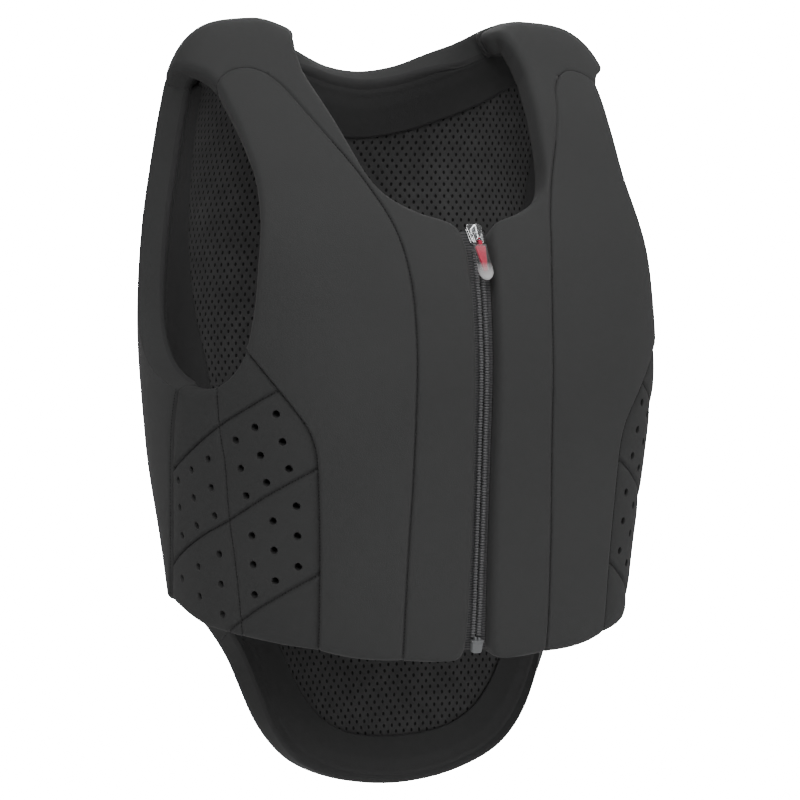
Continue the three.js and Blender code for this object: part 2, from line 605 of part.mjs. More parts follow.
function sliderBody() {
  const body = plate(slider.width, slider.height, thickness(slider), slider.corner, 0.8);
  const face = thickness(slider) / 2;
  const reach = bridge.foot;
  const arch = new THREE.Shape();
  arch.moveTo(-reach - bridge.bar, -0.6);
  arch.lineTo(-reach - bridge.bar, bridge.rise - 1);
  arch.quadraticCurveTo(-reach - bridge.bar + 0.4, bridge.rise, -reach + 1, bridge.rise);
  arch.lineTo(reach - 1, bridge.rise);
  arch.quadraticCurveTo(reach + bridge.bar - 0.4, bridge.rise, reach + bridge.bar, bridge.rise - 1);
  arch.lineTo(reach + bridge.bar, -0.6);
  arch.lineTo(reach, -0.6);
  arch.lineTo(reach, bridge.rise - bridge.bar);
  arch.lineTo(-reach, bridge.rise - bridge.bar);
  arch.lineTo(-reach, -0.6);
  const loop = new THREE.ExtrudeGeometry(arch, { depth: bridge.wide, bevelEnabled: false, curveSegments: 3 });
  loop.translate(0, 0, -bridge.wide / 2).rotateY(-Math.PI / 2).rotateX(Math.PI / 2);
  return plus(body, loop.translate(0, 0, face));
}

const pullerPivot = { up: -0.6, out: thickness(slider) / 2 + bridge.rise - bridge.bar - link.bar / 2 - 0.4 };

function linkRing() {
  const ring = plate(link.wide, link.tall, link.bar, 2, 0.3);
  const opening = plate(link.wide - 2 * link.bar, link.tall - 2 * link.bar, link.bar * 2, 1, 0.05);
  return less(ring, opening).translate(0, -link.tall / 2 + link.bar / 2, 0);
}

const eyeUp = -link.tall + link.bar;

function coreTab() {
  const strip = plate(core.wide, core.tall, core.thick, 1.6, 0.4).translate(0, eyeUp - core.tall / 2, 0);
  const eye = new THREE.CylinderGeometry(core.eye, core.eye, core.eyeWide, 10)
    .rotateZ(Math.PI / 2).translate(0, eyeUp, 0);
  return less(plus(strip, eye), crossBar(core.eyeBore, core.wide + 2, eyeUp, 0));
}

function coverDrop() {
  const top = eyeUp - cover.below;
  const body = plate(cover.wide, cover.tall, cover.thick, cover.wide / 2 - 0.2, 1).translate(0, top - cover.tall / 2, 0);
  const room = core.tall - cover.below + 2 * cover.clear + 4;
  const pocket = new THREE.BoxGeometry(core.wide + 2 * cover.clear, room, core.thick + 2 * cover.clear)
    .translate(0, top + 4 - room / 2, 0);
  return less(body, pocket);
}

for (const { name, side } of sides) {
  place(`front_centre_${name}`, pad(centreNets(side), 0, wall), 'shellCloth');
  place(`front_side_${name}`, pad([frontSideNet(side)], 0, wall), 'shellCloth');
  place(`side_panel_${name}`, sidePanel(side), 'sideCloth');
  place(`lining_front_${name}`, frontLining(side), 'meshCloth');
  place(`zip_tape_${name}`, zipTape(side), 'tapeCloth');
}
place('back_panel', pad([backNet()], 0, wall), 'shellCloth');
place('lining_back', backLining(), 'meshCloth');
place('neck_facing', neckFacing(), 'facingCloth');
place('tail_facing', onLining(backRows.tail, backColumns.tail), 'facingCloth');
place('armhole_facing_left', onLining(backRows.armhole, backColumns.armholeLeft), 'facingCloth');
place('armhole_facing_right', onLining(backRows.armhole, backColumns.armholeRight), 'facingCloth');
place('zip_teeth', coilChain(), 'coil');
place('zip_box', plate(endBox.width, endBox.height, thickness(endBox), endBox.corner, 0.6)
  .applyMatrix4(stand(0, endBox.rise, mid(endBox))), 'boxPlastic');

const runner = new THREE.Group();
runner.applyMatrix4(stand(0, slider.rise, mid(slider)));
vest.add(runner);
place('zip_slider', sliderBody(), 'metal', runner);
const puller = new THREE.Group();
puller.position.set(0, pullerPivot.up, pullerPivot.out);
runner.add(puller);
place('puller_link', linkRing(), 'metal', puller);
place('puller_core', coreTab(), 'grip', puller);
place('puller_cover', coverDrop(), 'clear', puller);

export default vest;
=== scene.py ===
import math

import bmesh
import bpy
import numpy as np
from mathutils import Matrix, Vector
from mathutils.kdtree import KDTree


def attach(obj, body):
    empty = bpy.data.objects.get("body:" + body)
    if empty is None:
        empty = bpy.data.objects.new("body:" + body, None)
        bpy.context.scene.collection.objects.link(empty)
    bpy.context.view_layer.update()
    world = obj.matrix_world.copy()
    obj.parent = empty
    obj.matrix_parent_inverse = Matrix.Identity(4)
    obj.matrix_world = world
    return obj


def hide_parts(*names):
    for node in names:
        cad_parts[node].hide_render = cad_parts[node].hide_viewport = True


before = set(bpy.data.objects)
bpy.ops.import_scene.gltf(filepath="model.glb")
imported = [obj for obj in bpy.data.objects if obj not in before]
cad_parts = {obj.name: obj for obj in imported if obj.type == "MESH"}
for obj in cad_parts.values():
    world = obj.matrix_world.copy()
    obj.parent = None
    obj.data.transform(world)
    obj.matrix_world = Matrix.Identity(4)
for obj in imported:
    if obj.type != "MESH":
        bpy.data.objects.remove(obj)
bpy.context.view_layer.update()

# Sizes and pattern lines are in millimetres, degrees and shares, as in part.mjs; meshes are in metres.
MM = 0.001
DROP, HALF_WIDTH, FRONT_DEPTH, BACK_DEPTH, FORWARD = 600, 193, 148, 128, 37
CROWN_OUT, CROWN_NECK, CROWN_DIP = 109, 68, 18
SWING_SIDE, SWING_FROM, SWING_TO, SWING_BEHIND, SWING_SQUARE = 34, 320, 490, 98, 138
WALL, SIDE_WALL, SIDE_SUNK = 20, 14, 3
EDGE_OUT, EDGE_IN = 6, 4

# torso sections: rise, drop, width, middle, front, back, front fullness, back fullness
SECTIONS = np.array([
    (0.00, 1.000, 0.780, 1.000, 0.740, 0.640, 0.10, 0.20),
    (0.14, 0.883, 0.830, 1.000, 0.850, 0.720, 0.10, 0.24),
    (0.28, 0.750, 0.885, 1.000, 0.965, 0.830, 0.12, 0.28),
    (0.38, 0.633, 0.922, 1.000, 0.990, 0.900, 0.12, 0.30),
    (0.50, 0.500, 0.968, 1.000, 1.000, 0.960, 0.13, 0.30),
    (0.60, 0.383, 1.000, 1.000, 0.990, 1.000, 0.14, 0.28),
    (0.70, 0.267, 1.000, 0.920, 0.905, 0.950, 0.14, 0.24),
    (0.78, 0.180, 0.972, 0.700, 0.716, 0.835, 0.14, 0.20),
    (0.84, 0.117, 0.948, 0.490, 0.540, 0.670, 0.12, 0.16),
    (0.89, 0.063, 0.904, 0.270, 0.338, 0.485, 0.10, 0.12),
    (0.93, 0.025, 0.823, 0.135, 0.203, 0.3125, 0.08, 0.08),
    (0.96, 0.0065, 0.695, 0.054, 0.115, 0.180, 0.05, 0.05),
    (1.00, 0.000, 0.363, 0.000, 0.047, 0.055, 0.00, 0.00),
])

# pattern lines of the wearer's left side: turn from the middle of the front, and rise
ZIP_EDGE = [(6.4, .2745), (4.6, .2755), (3.4, .281), (2.9, .294), (2.5, .33), (2.2, .42), (2.2, .56),
            (2.3, .64), (2.5, .69), (2.8, .711), (3.5, .7225), (4.8, .7295), (6.6, .7335)]
NECK_FRONT = [(6.6, .7335), (10, .739), (14.2, .750), (17.6, .764), (19.8, .782), (21.3, .804), (23.4, .835),
              (26, .866), (28.6, .892)]
NECK_SHOULDER = [(28.6, .892), (30, .915), (31.5, .936), (34.8, .955), (40.4, .970), (47, .980), (57, .988),
                 (72, .994), (90, .9962), (108, .9935), (122, .9885)]
NECK_BACK = [(122, .9885), (134, .979), (144, .964), (153, .944), (160, .922), (167, .903), (173, .892),
             (180, .887)]
PRINCESS = [(17.6, .2755), (17.2, .33), (16.4, .40), (15.5, .46), (14.7, .53), (14.2, .60), (14.4, .65),
            (15.2, .69), (16.8, .728), (19.2, .758), (22.4, .788), (27, .822), (32, .855), (35.2, .873),
            (39.5, .886)]
TONGUE = [(39.5, .886), (44, .8915), (49, .891), (53.6, .885), (57.6, .874)]
TONGUE_FOOT = (28.6, .892)
STRAP_EDGE = [(57.6, .874), (63, .884), (71, .889), (81, .889), (90, .886), (98, .880), (106, .868)]
YOKE = [(106, .868), (112.5, .905), (117.5, .946), (122, .9885)]
ARM_FRONT = [(54.4, .597), (51.6, .64), (50, .684), (48.2, .728), (48, .774), (51, .822), (54.4, .852),
             (57.6, .874)]
ARM_BACK = [(82, .549), (90.5, .556), (98.5, .569), (106, .594), (111, .63), (113.4, .68), (114, .74),
            (113.4, .80), (111, .842), (106, .868)]
ARM_BOTTOM = [(54.4, .597), (59, .573), (65.5, .556), (73.5, .549), (82, .549)]
SIDE_FRONT = [(38.4, .287), (37.8, .34), (37.2, .40), (36.8, .46), (37, .497), (38.8, .521), (43, .545),
              (48.5, .571), (54.4, .597)]
SIDE_BACK = [(101, .312), (96.5, .355), (93.6, .395), (91, .435), (88.6, .475), (86, .513), (82, .549)]
HEM_FRONT = [(6.4, .2745), (12, .2735), (17.6, .2755)]
HEM_MIDDLE = [(17.6, .2755), (25, .277), (32, .281), (38.4, .287)]
HEM_SIDE = [(38.4, .287), (47, .291), (58, .296), (70, .300), (80, .304), (92, .314), (101, .3195)]
TAIL_EDGE = [(101, .312), (108, .309), (115, .303), (121.5, .290), (127, .270), (131, .243), (134.5, .210),
             (137.5, .172), (141, .132), (145.5, .097), (151.5, .067), (160, .043), (169.5, .027), (180, .021)]
GROOVES = [
    [(62.3, .285), (63.5, .368), (64.5, .415), (64.5, .478), (65.5, .512), (65.5, .570)],
    [(92, .452), (82, .476), (66, .515), (56, .536), (43, .564)],
    [(100, .345), (88, .369), (75, .395), (64.5, .415), (50, .449), (34.5, .484)],
    [(72, .284), (66, .303), (57, .325), (47, .346), (35.5, .370)],
]
# fields of perforations: the ends of the top row, the ends of the bottom row, and how many in each row
HOLE_FIELDS = [
    ((70, .480), (85.4, .449), (69.4, .418), (86, .388), (3, 3, 3)),
    ((46.8, .534), (59.4, .504), (44.2, .478), (57.4, .445), (3, 3, 3)),
    ((42.8, .438), (56.4, .402), (43.2, .373), (56.8, .341), (3, 3, 3)),
    ((68.6, .377), (88, .342), (69, .316), (89, .281), (3, 2, 1)),
]


# the torso surface
def read(column, rise):
    """A smooth curve through one column of the sections."""
    keys, values = SECTIONS[:, 0], SECTIONS[:, column]
    last = len(keys) - 1
    before, after = np.maximum(np.arange(last + 1) - 1, 0), np.minimum(np.arange(last + 1) + 1, last)
    slopes = (values[after] - values[before]) / (keys[after] - keys[before])
    i = np.clip(np.searchsorted(keys, rise, side="right") - 1, 0, last - 1)
    span = keys[i + 1] - keys[i]
    t = (rise - keys[i]) / span
    near = (1 + 2 * t) * (1 - t) ** 2 * values[i] + t * (1 - t) ** 2 * span * slopes[i]
    return near + t * t * (3 - 2 * t) * values[i + 1] + t * t * (t - 1) * span * slopes[i + 1]


def ease(value, low, high):
    """0 up to low, 1 from high, and a smooth step between them."""
    t = np.clip((value - low) / (high - low), 0, 1)
    return t * t * (3 - 2 * t)


def shell(turn, rise):
    """The outer face of the vest in millimetres, for arrays of turns and rises."""
    turn, rise = np.broadcast_arrays(np.asarray(turn, float), np.asarray(rise, float))
    sin, cos = np.sin(np.radians(turn)), np.cos(np.radians(turn))
    front = cos > 0
    depth = np.where(front, FRONT_DEPTH * read(4, rise), BACK_DEPTH * read(5, rise))
    full = np.where(front, read(6, rise), read(7, rise))
    x = HALF_WIDTH * read(2, rise) * sin * (1 + full * cos * cos)
    y = -FORWARD * read(3, rise) - depth * cos * (1 + full * sin * sin)
    below = DROP * read(1, rise)
    aside = np.where(turn > 180, 360 - turn, turn)
    swing = SWING_SIDE * ease(below, SWING_FROM, SWING_TO) * ease(aside, SWING_BEHIND, SWING_SQUARE)
    inside = (CROWN_OUT - np.maximum(np.abs(x), CROWN_NECK)) / (CROWN_OUT - CROWN_NECK)
    dip = CROWN_DIP * ease(rise, 0.90, 0.985) * np.clip(inside, 0, 1) ** 1.7
    return np.stack([x + swing, y, WALL - below - dip], axis=-1)


def outward(turn, rise):
    """The direction out of the vest at a place."""
    along = shell(turn + 0.2, rise) - shell(turn - 0.2, rise)
    up = shell(turn, rise + 0.0008) - shell(turn, rise - 0.0008)
    out = np.cross(along, up)
    return out / np.linalg.norm(out, axis=-1, keepdims=True)


def stand(turn, rise, depth):
    """A place on the vest as a matrix: its axes go across, up and out, in metres."""
    out = Vector(outward(turn, rise))
    level = Vector((math.cos(math.radians(turn)), 0, 0))
    across = (level - out * level.dot(out)).normalized()
    place = Matrix((across, out.cross(across), out)).transposed().to_4x4()
    place.translation = Vector(sunk(turn, rise, depth))
    return place


def shift(x=0.0, y=0.0, z=0.0):
    """A move in millimetres."""
    return Matrix.Translation((x * MM, y * MM, z * MM))


def sunk(turn, rise, depth):
    """A point sunk below the outer face, in metres."""
    return MM * (shell(turn, rise) - outward(turn, rise) * np.asarray(depth, float)[..., None])


# pattern lines
def smooth_line(points, count=160):
    """A dense smooth line through pattern points, even in length on the body."""
    p = np.array(points, float)
    q = p * (1 / 60, 5)
    knots = np.concatenate([[0], np.cumsum(np.sqrt(np.linalg.norm(np.diff(q, axis=0), axis=1)))])
    n = len(p) - 1
    before, after = np.maximum(np.arange(n + 1) - 1, 0), np.minimum(np.arange(n + 1) + 1, n)
    slopes = (p[after] - p[before]) / (knots[after] - knots[before])[:, None]
    at = np.linspace(0, knots[-1], 4 * count + 1)
    i = np.clip(np.searchsorted(knots, at, side="right") - 1, 0, n - 1)
    span = (knots[i + 1] - knots[i])[:, None]
    t = (at - knots[i])[:, None] / span
    fine = ((1 + 2 * t) * (1 - t) ** 2 * p[i] + t * (1 - t) ** 2 * span * slopes[i]
            + t * t * (3 - 2 * t) * p[i + 1] + t * t * (t - 1) * span * slopes[i + 1])
    reach = lengths(fine)
    even = np.linspace(0, reach[-1], count + 1)
    return np.stack([np.interp(even, reach, fine[:, k]) for k in (0, 1)], axis=1)


def lengths(line):
    """How far along a dense line each of its points is, in millimetres on the vest."""
    steps = np.linalg.norm(np.diff(shell(line[:, 0], line[:, 1]), axis=0), axis=1)
    return np.concatenate([[0], np.cumsum(steps)])


def mirrored(points):
    """The same line on the wearer's right."""
    return [(360 - turn, rise) for turn, rise in points]


def both_ways(points):
    """A line across the middle of the back, from the wearer's left to the right."""
    return points + mirrored(points)[-2::-1]


def edge(*lines):
    """An edge made of (points, share) lines: a function from a fraction to a turn and rise."""
    fractions, rows = [], []
    start = 0.0
    for points, share in lines:
        dense = smooth_line(points)
        fractions.append(start + share * np.linspace(0, 1, len(dense)))
        rows.append(dense)
        start += share
    at, table = np.concatenate(fractions) / start, np.concatenate(rows)
    return lambda f: np.stack([np.interp(f, at, table[:, k]) for k in (0, 1)], axis=-1)


def coons(south, north, west, east):
    """The pattern area between four edges, as a function of two fractions."""
    corners = south(0.0), south(1.0), north(0.0), north(1.0)

    def area(s, t):
        s_, t_ = s[..., None], t[..., None]
        sides = (1 - s_) * west(t) + s_ * east(t)
        ends = (1 - t_) * south(s) + t_ * north(s)
        low, high = ((1 - s_) * corners[k] + s_ * corners[k + 1] for k in (0, 2))
        return sides + ends - ((1 - t_) * low + t_ * high)

    return area


def four_lines(south, north, west, east):
    """The pattern area between four plain lines."""
    return coons(*(edge((line, 1)) for line in (south, north, west, east)))


# padded panels
# distances in from an edge at which a panel has extra rows, for its rounding and its seam
MARKS = np.array([0, 0.25, 0.8, 1.7, 3.0, 4.6, 6.2, 8.5])


def marks_in(far):
    """The marks as fractions of a length, drawn closer together where the panel is narrow."""
    return MARKS / far * min(1.0, 0.44 * far / MARKS[-1])


def spread(far, count):
    """Fractions with rows at the marks beside both ends of a length, and even rows between."""
    near = marks_in(far)
    between = np.linspace(near[-1], 1 - near[-1], count + 1)[1:-1]
    return np.concatenate([near, between, 1 - near[::-1]])


def across_lengths(area):
    """How long the area's rows and columns are, as functions of the other fraction."""
    f = np.linspace(0, 1, 41)
    s, t = np.meshgrid(f, f)
    p = area(s, t)
    xyz = shell(p[..., 0], p[..., 1])
    row = np.linalg.norm(np.diff(xyz, axis=1), axis=2).sum(axis=1)
    column = np.linalg.norm(np.diff(xyz, axis=0), axis=2).sum(axis=0)
    return (lambda t: np.interp(t, f, row)), (lambda s: np.interp(s, f, column))


def distances(turn, rise):
    """How far each point of a grid is from its four edges, along the cloth."""
    flat = shell(turn, rise)
    across = np.cumsum(np.pad(np.linalg.norm(np.diff(flat, axis=1), axis=2), ((0, 0), (1, 0))), axis=1)
    up = np.cumsum(np.pad(np.linalg.norm(np.diff(flat, axis=0), axis=2), ((1, 0), (0, 0))), axis=0)
    return {"west": across, "east": across[:, -1:] - across, "south": up, "north": up[-1:] - up}


def panel_grid(area, columns, rows):
    """Turn, rise and the distances to the four edges at each point of a panel's grid."""
    row_length, column_length = across_lengths(area)
    rough_t = spread(column_length(0.5), rows)
    s = np.stack([spread(row_length(t), columns) for t in rough_t])
    t = np.stack([spread(column_length(f), rows) for f in s[len(rough_t) // 2]], axis=1)
    p = area(s, t)
    return p[..., 0], p[..., 1], {**distances(p[..., 0], p[..., 1]), "s": s, "t": t}


def relief(far, free, shape):
    """Depth from an edge's rounding and its seam: free holds how free of a neighbour each edge is, and may hold
    how deep each seam's cut is beside the shape's own."""
    share = np.zeros_like(far["s"])
    groove = np.zeros_like(far["s"])
    for side in ("west", "east", "south", "north"):
        along = far["t"] if side in ("west", "east") else far["s"]
        loose = free[side](along) if callable(free[side]) else np.full_like(along, free[side])
        close = np.clip(1 - far[side] / shape["round"], 0, 1)
        share = np.hypot(share, loose * close)
        cut = shape["cut"] * free.get(side + "_cut", 1.0)
        seam = (1 - loose) * (cut * np.exp(-(far[side] / 1.1) ** 2) + shape["valley"] * np.exp(-far[side] / 9))
        groove = np.maximum(groove, seam)
    turned = 1 - np.sqrt(1 - np.clip(share, 0, 1) ** 2)
    return turned, groove


AROUND = 2.75  # millimetres of cloth to a degree of turn
FAR = 99.0  # further than any seam or groove reaches


def lay_grid(bm, turn, rise, depth):
    """A grid of faces laid on the body at a depth, with millimetres around and up it as its UV map."""
    rows, columns = turn.shape
    points = sunk(turn, rise, depth)
    u, v_up = turn * AROUND, points[..., 2] / MM
    made = bmesh.ops.create_grid(bm, x_segments=columns - 1, y_segments=rows - 1, size=1)["verts"]
    uv = bm.loops.layers.uv.get("UVMap") or bm.loops.layers.uv.new("UVMap")
    for v in made:
        i, j = round((v.co.x + 1) / 2 * (columns - 1)), round((v.co.y + 1) / 2 * (rows - 1))
        v.co = Vector(points[j, i])
        for loop in v.link_loops:
            loop[uv].uv = (u[j, i], v_up[j, i])
    return made, points


def rim(verts):
    """The open edges of a sheet."""
    return list({e for v in verts if v.is_valid for e in v.link_edges if e.is_boundary})


def closed_pad(bm, layers):
    """Outer and inner faces over the same patches, and the wall drawn from one rim to the other.
    A layer is turn, rise, outer depth and inner depth."""
    outer, inner, above_all, below_all = [], [], [], []
    for turn, rise, top, bottom in layers:
        verts, above = lay_grid(bm, turn, rise, top)
        outer += verts
        verts, below = lay_grid(bm, turn, rise, bottom)
        for face in {f for v in verts for f in v.link_faces}:
            face.material_index = 1
        inner += verts
        above_all.append(above.reshape(-1, 3))
        below_all.append(below.reshape(-1, 3))
    bmesh.ops.remove_doubles(bm, verts=outer, dist=1e-5)
    bmesh.ops.remove_doubles(bm, verts=[v for v in inner if v.is_valid], dist=1e-5)
    tops, bottoms = np.concatenate(above_all), np.concatenate(below_all)
    find = KDTree(len(tops))
    for k, top in enumerate(tops):
        find.insert(top, k)
    find.balance()
    wall = bmesh.ops.extrude_edge_only(bm, edges=rim(outer))["geom"]
    for v in wall:
        if isinstance(v, bmesh.types.BMVert):
            v.co = Vector(bottoms[find.find(v.co)[1]])
    bmesh.ops.remove_doubles(bm, verts=bm.verts, dist=2e-5)


def in_scene(name, data):
    """A new object, in the scene."""
    obj = bpy.data.objects.new(name, data)
    bpy.context.scene.collection.objects.link(obj)
    return obj


def finished(name, bm, *materials, body="vest", hard=False):
    """A named, smooth-shaded object from a bmesh, riding on a body. A hard one keeps its flats flat."""
    bmesh.ops.recalc_face_normals(bm, faces=bm.faces)
    if len(materials) == 1:
        for face in bm.faces:
            face.material_index = 0
    mesh = bpy.data.meshes.new(name)
    bm.to_mesh(mesh)
    bm.free()
    mesh.shade_smooth()
    obj = in_scene(name, mesh)
    for material in materials:
        mesh.materials.append(material)
    if hard:
        obj.modifiers.new("flats", "WEIGHTED_NORMAL").keep_sharp = True
    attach(obj, body)
    return obj


PANEL_SEAM = {"round": EDGE_OUT, "cut": 1.5, "valley": 0.9}


def pad_object(name, patches, material, outer=0.0, wall=WALL, round_in=EDGE_IN, shape=PANEL_SEAM, extra=None):
    """A padded panel from patches; a patch is turn, rise, distances to its edges and how free each edge is."""
    bm = bmesh.new()
    layers = []
    for turn, rise, far, free in patches:
        turned, groove = relief(far, free, shape)
        swell = extra(turn, rise, far) if extra else 0.0
        top = outer + shape["round"] * turned + groove + swell
        layers.append((turn, rise, top, outer + wall - round_in * turned))
    closed_pad(bm, layers)
    return finished(name, bm, material, FACING_CLOTH)


def thin_sheet(name, area, columns, rows, material, depth, thick):
    """A sewn sheet with a little thickness; its depth may be a function of the area's two fractions."""
    s, t = np.meshgrid(np.linspace(0, 1, columns + 1), np.linspace(0, 1, rows + 1))
    p = area(s, t)
    bm = bmesh.new()
    top = depth(s, t) if callable(depth) else np.full_like(s, depth)
    closed_pad(bm, [(p[..., 0], p[..., 1], top, top + thick)])
    return finished(name, bm, material)


def near_lines(turn, rise, lines, fine=320):
    """How far each point is from the nearest of some pattern lines, in millimetres."""
    at = shell(turn, rise)
    nearest = np.full(turn.shape, FAR)
    for points in lines:
        dense = smooth_line(points, fine)
        for p in shell(dense[:, 0], dense[:, 1]):
            nearest = np.minimum(nearest, np.linalg.norm(at - p, axis=-1))
    return nearest


def cut_through(obj, cutter):
    """Takes the cutter's closed shapes out of an object's mesh."""
    tool = in_scene("cutter", cutter)
    step = obj.modifiers.new("holes", "BOOLEAN")
    step.operation, step.solver, step.object = "DIFFERENCE", "EXACT", tool
    bpy.context.view_layer.update()
    done = bpy.data.meshes.new_from_object(obj.evaluated_get(bpy.context.evaluated_depsgraph_get()))
    obj.modifiers.clear()
    obj.data = done
    bpy.data.objects.remove(tool)


# finishes
def feed(tree, socket, value):
    """Gives a socket a number or colour, or links another socket to it."""
    if isinstance(value, (int, float, tuple)):
        socket.default_value = value
    else:
        tree.links.new(value, socket)


def new_group(name, inputs, outputs):
    """A group of nodes with number or vector sockets, and its two ends."""
    group = bpy.data.node_groups.new(name, "ShaderNodeTree")
    group.interface.new_socket("Vector", in_out="INPUT", socket_type="NodeSocketVector")
    for label, value in inputs.items():
        group.interface.new_socket(label, in_out="INPUT", socket_type="NodeSocketFloat").default_value = value
    for label in outputs:
        group.interface.new_socket(label, in_out="OUTPUT", socket_type="NodeSocketFloat")
    return group, group.nodes.new("NodeGroupInput").outputs, group.nodes.new("NodeGroupOutput").inputs


def place_group(tree, group, vector, **values):
    node = tree.nodes.new("ShaderNodeGroup")
    node.node_tree = group
    for label, value in {"Vector": vector, **values}.items():
        feed(tree, node.inputs[label], value)
    return node


def math_node(tree, operation, *values, clamp=False):
    node = tree.nodes.new("ShaderNodeMath")
    node.operation = operation
    node.use_clamp = clamp
    for socket, value in zip(node.inputs, values):
        feed(tree, socket, value)
    return node.outputs[0]


def noise(tree, point, scale, detail=2.0):
    """Soft noise from 0 to 1."""
    node = tree.nodes.new("ShaderNodeTexNoise")
    for label, value in (("Vector", point), ("Scale", scale), ("Detail", detail)):
        feed(tree, node.inputs[label], value)
    return node.outputs["Fac"]


def fade(tree, value, start, end, low, high):
    """Goes from low to high as the value goes from start to end."""
    node = tree.nodes.new("ShaderNodeMapRange")
    for label, given in (("Value", value), ("From Min", start), ("From Max", end),
                         ("To Min", low), ("To Max", high)):
        feed(tree, node.inputs[label], given)
    return node.outputs["Result"]


def blend(tree, share, first, second):
    """Turns one colour into another; each is a colour or a socket."""
    node = tree.nodes.new("ShaderNodeMix")
    node.data_type = "RGBA"
    for label, value in (("Factor", share), ("A", first), ("B", second)):
        feed(tree, node.inputs[label], value)
    return node.outputs["Result"]


def shade(color, share):
    """A colour made darker or lighter."""
    return (*(min(part * share, 1) for part in color), 1)


def on_object(tree):
    """Places on the object, in metres."""
    return tree.nodes.new("ShaderNodeTexCoord").outputs["Object"]


def height_of(tree, point):
    """How high a place is."""
    parts = tree.nodes.new("ShaderNodeSeparateXYZ")
    tree.links.new(point, parts.inputs[0])
    return parts.outputs["Z"]


def knit_group():
    """Fine stretch knit: tiny ribs crossing at the scale of a thread, with soft cloudy wear over them."""
    group, given, out = new_group("fine_knit", {"Threads": 900.0, "Cloud": 14.0}, ("Height", "Tone"))
    fine = noise(group, given["Vector"], given["Threads"])
    wear = noise(group, given["Vector"], given["Cloud"], 4.0)
    cells = group.nodes.new("ShaderNodeTexVoronoi")
    for label, source in (("Vector", "Vector"), ("Scale", "Threads")):
        feed(group, cells.inputs[label], given[source])
    ribbed = math_node(group, "MULTIPLY", fine, 0.5)
    feed(group, out["Height"], math_node(group, "MULTIPLY_ADD", cells.outputs["Distance"], 0.6, ribbed))
    speckled = math_node(group, "MULTIPLY", fine, 0.3)
    feed(group, out["Tone"], math_node(group, "MULTIPLY_ADD", wear, 0.7, speckled))
    return group


OVAL_ACROSS, OVAL_UP = 0.15, 0.31  # half the hole, as shares of the spacing


def oval_group():
    """Open mesh: 1 in the staggered oval holes and 0 on the threads, from a UV map in millimetres."""
    group, given, out = new_group("oval_mesh", {"Across": 5.5, "Up": 4.6}, ("Hole", "Height"))
    parts = group.nodes.new("ShaderNodeSeparateXYZ")
    feed(group, parts.inputs[0], given["Vector"])

    def from_middle(cells, half):
        off = math_node(group, "SUBTRACT", math_node(group, "FRACT", cells), 0.5)
        share = math_node(group, "DIVIDE", off, half)
        return math_node(group, "MULTIPLY", share, share)

    row = math_node(group, "DIVIDE", parts.outputs["Y"], given["Up"])
    odd = math_node(group, "MODULO", math_node(group, "FLOOR", row), 2.0)
    column = math_node(group, "MULTIPLY_ADD", odd, 0.5, math_node(
        group, "DIVIDE", parts.outputs["X"], given["Across"]))
    reach = math_node(group, "SQRT", math_node(
        group, "ADD", from_middle(column, OVAL_ACROSS), from_middle(row, OVAL_UP)))
    thread = math_node(group, "SUBTRACT", math_node(group, "MULTIPLY", reach, 3.0), 2.4, clamp=True)
    feed(group, out["Hole"], math_node(group, "SUBTRACT", 1.0, thread, clamp=True))
    feed(group, out["Height"], math_node(group, "MINIMUM", reach, 1.4))
    return group


KNIT = knit_group()
OVALS = oval_group()


def base_material(name, color, rough, sheen=0.0, metallic=0.0, specular=0.3):
    material = bpy.data.materials.new(name)
    material.use_nodes = True
    shader = material.node_tree.nodes["Principled BSDF"]
    for label, value in (("Base Color", (*color, 1)), ("Roughness", rough), ("Metallic", metallic),
                         ("Sheen Weight", sheen), ("Sheen Roughness", 0.45), ("Specular IOR Level", specular)):
        shader.inputs[label].default_value = value
    return material, material.node_tree, shader


def toned(tree, shader, tone, dark, light, low, high):
    """Colours a shader from dark to light as the tone goes from low to high."""
    node = tree.nodes.new("ShaderNodeValToRGB")
    for stop, at, color in zip(node.color_ramp.elements, (low, high), (dark, light)):
        stop.position, stop.color = at, (*color, 1)
    tree.links.new(tone, node.inputs["Fac"])
    tree.links.new(node.outputs["Color"], shader.inputs["Base Color"])


def bump(tree, shader, height, strength, distance):
    node = tree.nodes.new("ShaderNodeBump")
    for label, value in (("Strength", strength), ("Distance", distance), ("Height", height)):
        feed(tree, node.inputs[label], value)
    tree.links.new(node.outputs["Normal"], shader.inputs["Normal"])


def cloth(name, dark, light, rough, sheen, threads=1500.0, strength=0.25):
    """A knitted cloth whose tone varies softly between two colours."""
    material, tree, shader = base_material(name, dark, rough, sheen)
    knit = place_group(tree, KNIT, on_object(tree), Threads=threads, Cloud=9.0)
    toned(tree, shader, knit.outputs["Tone"], dark, light, 0.3, 0.7)
    bump(tree, shader, knit.outputs["Height"], strength, 0.0004)
    return material


def mesh_cloth(name, thread, hole_shade):
    """Black open mesh: threads a little lighter than the ovals between them, which are painted near-black as
    painted shade in the holes.
    """
    material, tree, shader = base_material(name, thread, 0.85, 0.1)
    uv = tree.nodes.new("ShaderNodeUVMap")
    uv.uv_map = "UVMap"
    ovals = place_group(tree, OVALS, uv.outputs["UV"])
    knit = place_group(tree, KNIT, on_object(tree), Threads=2200.0, Cloud=60.0)
    threads = blend(tree, knit.outputs["Tone"], shade(thread, 0.55), shade(thread, 1.5))
    # the ovals take the hole colour: painted shade, for the depth seen through the holes
    tree.links.new(blend(tree, ovals.outputs["Hole"], threads, (*hole_shade, 1)), shader.inputs["Base Color"])
    bump(tree, shader, ovals.outputs["Height"], 0.6, 0.0008)
    return material


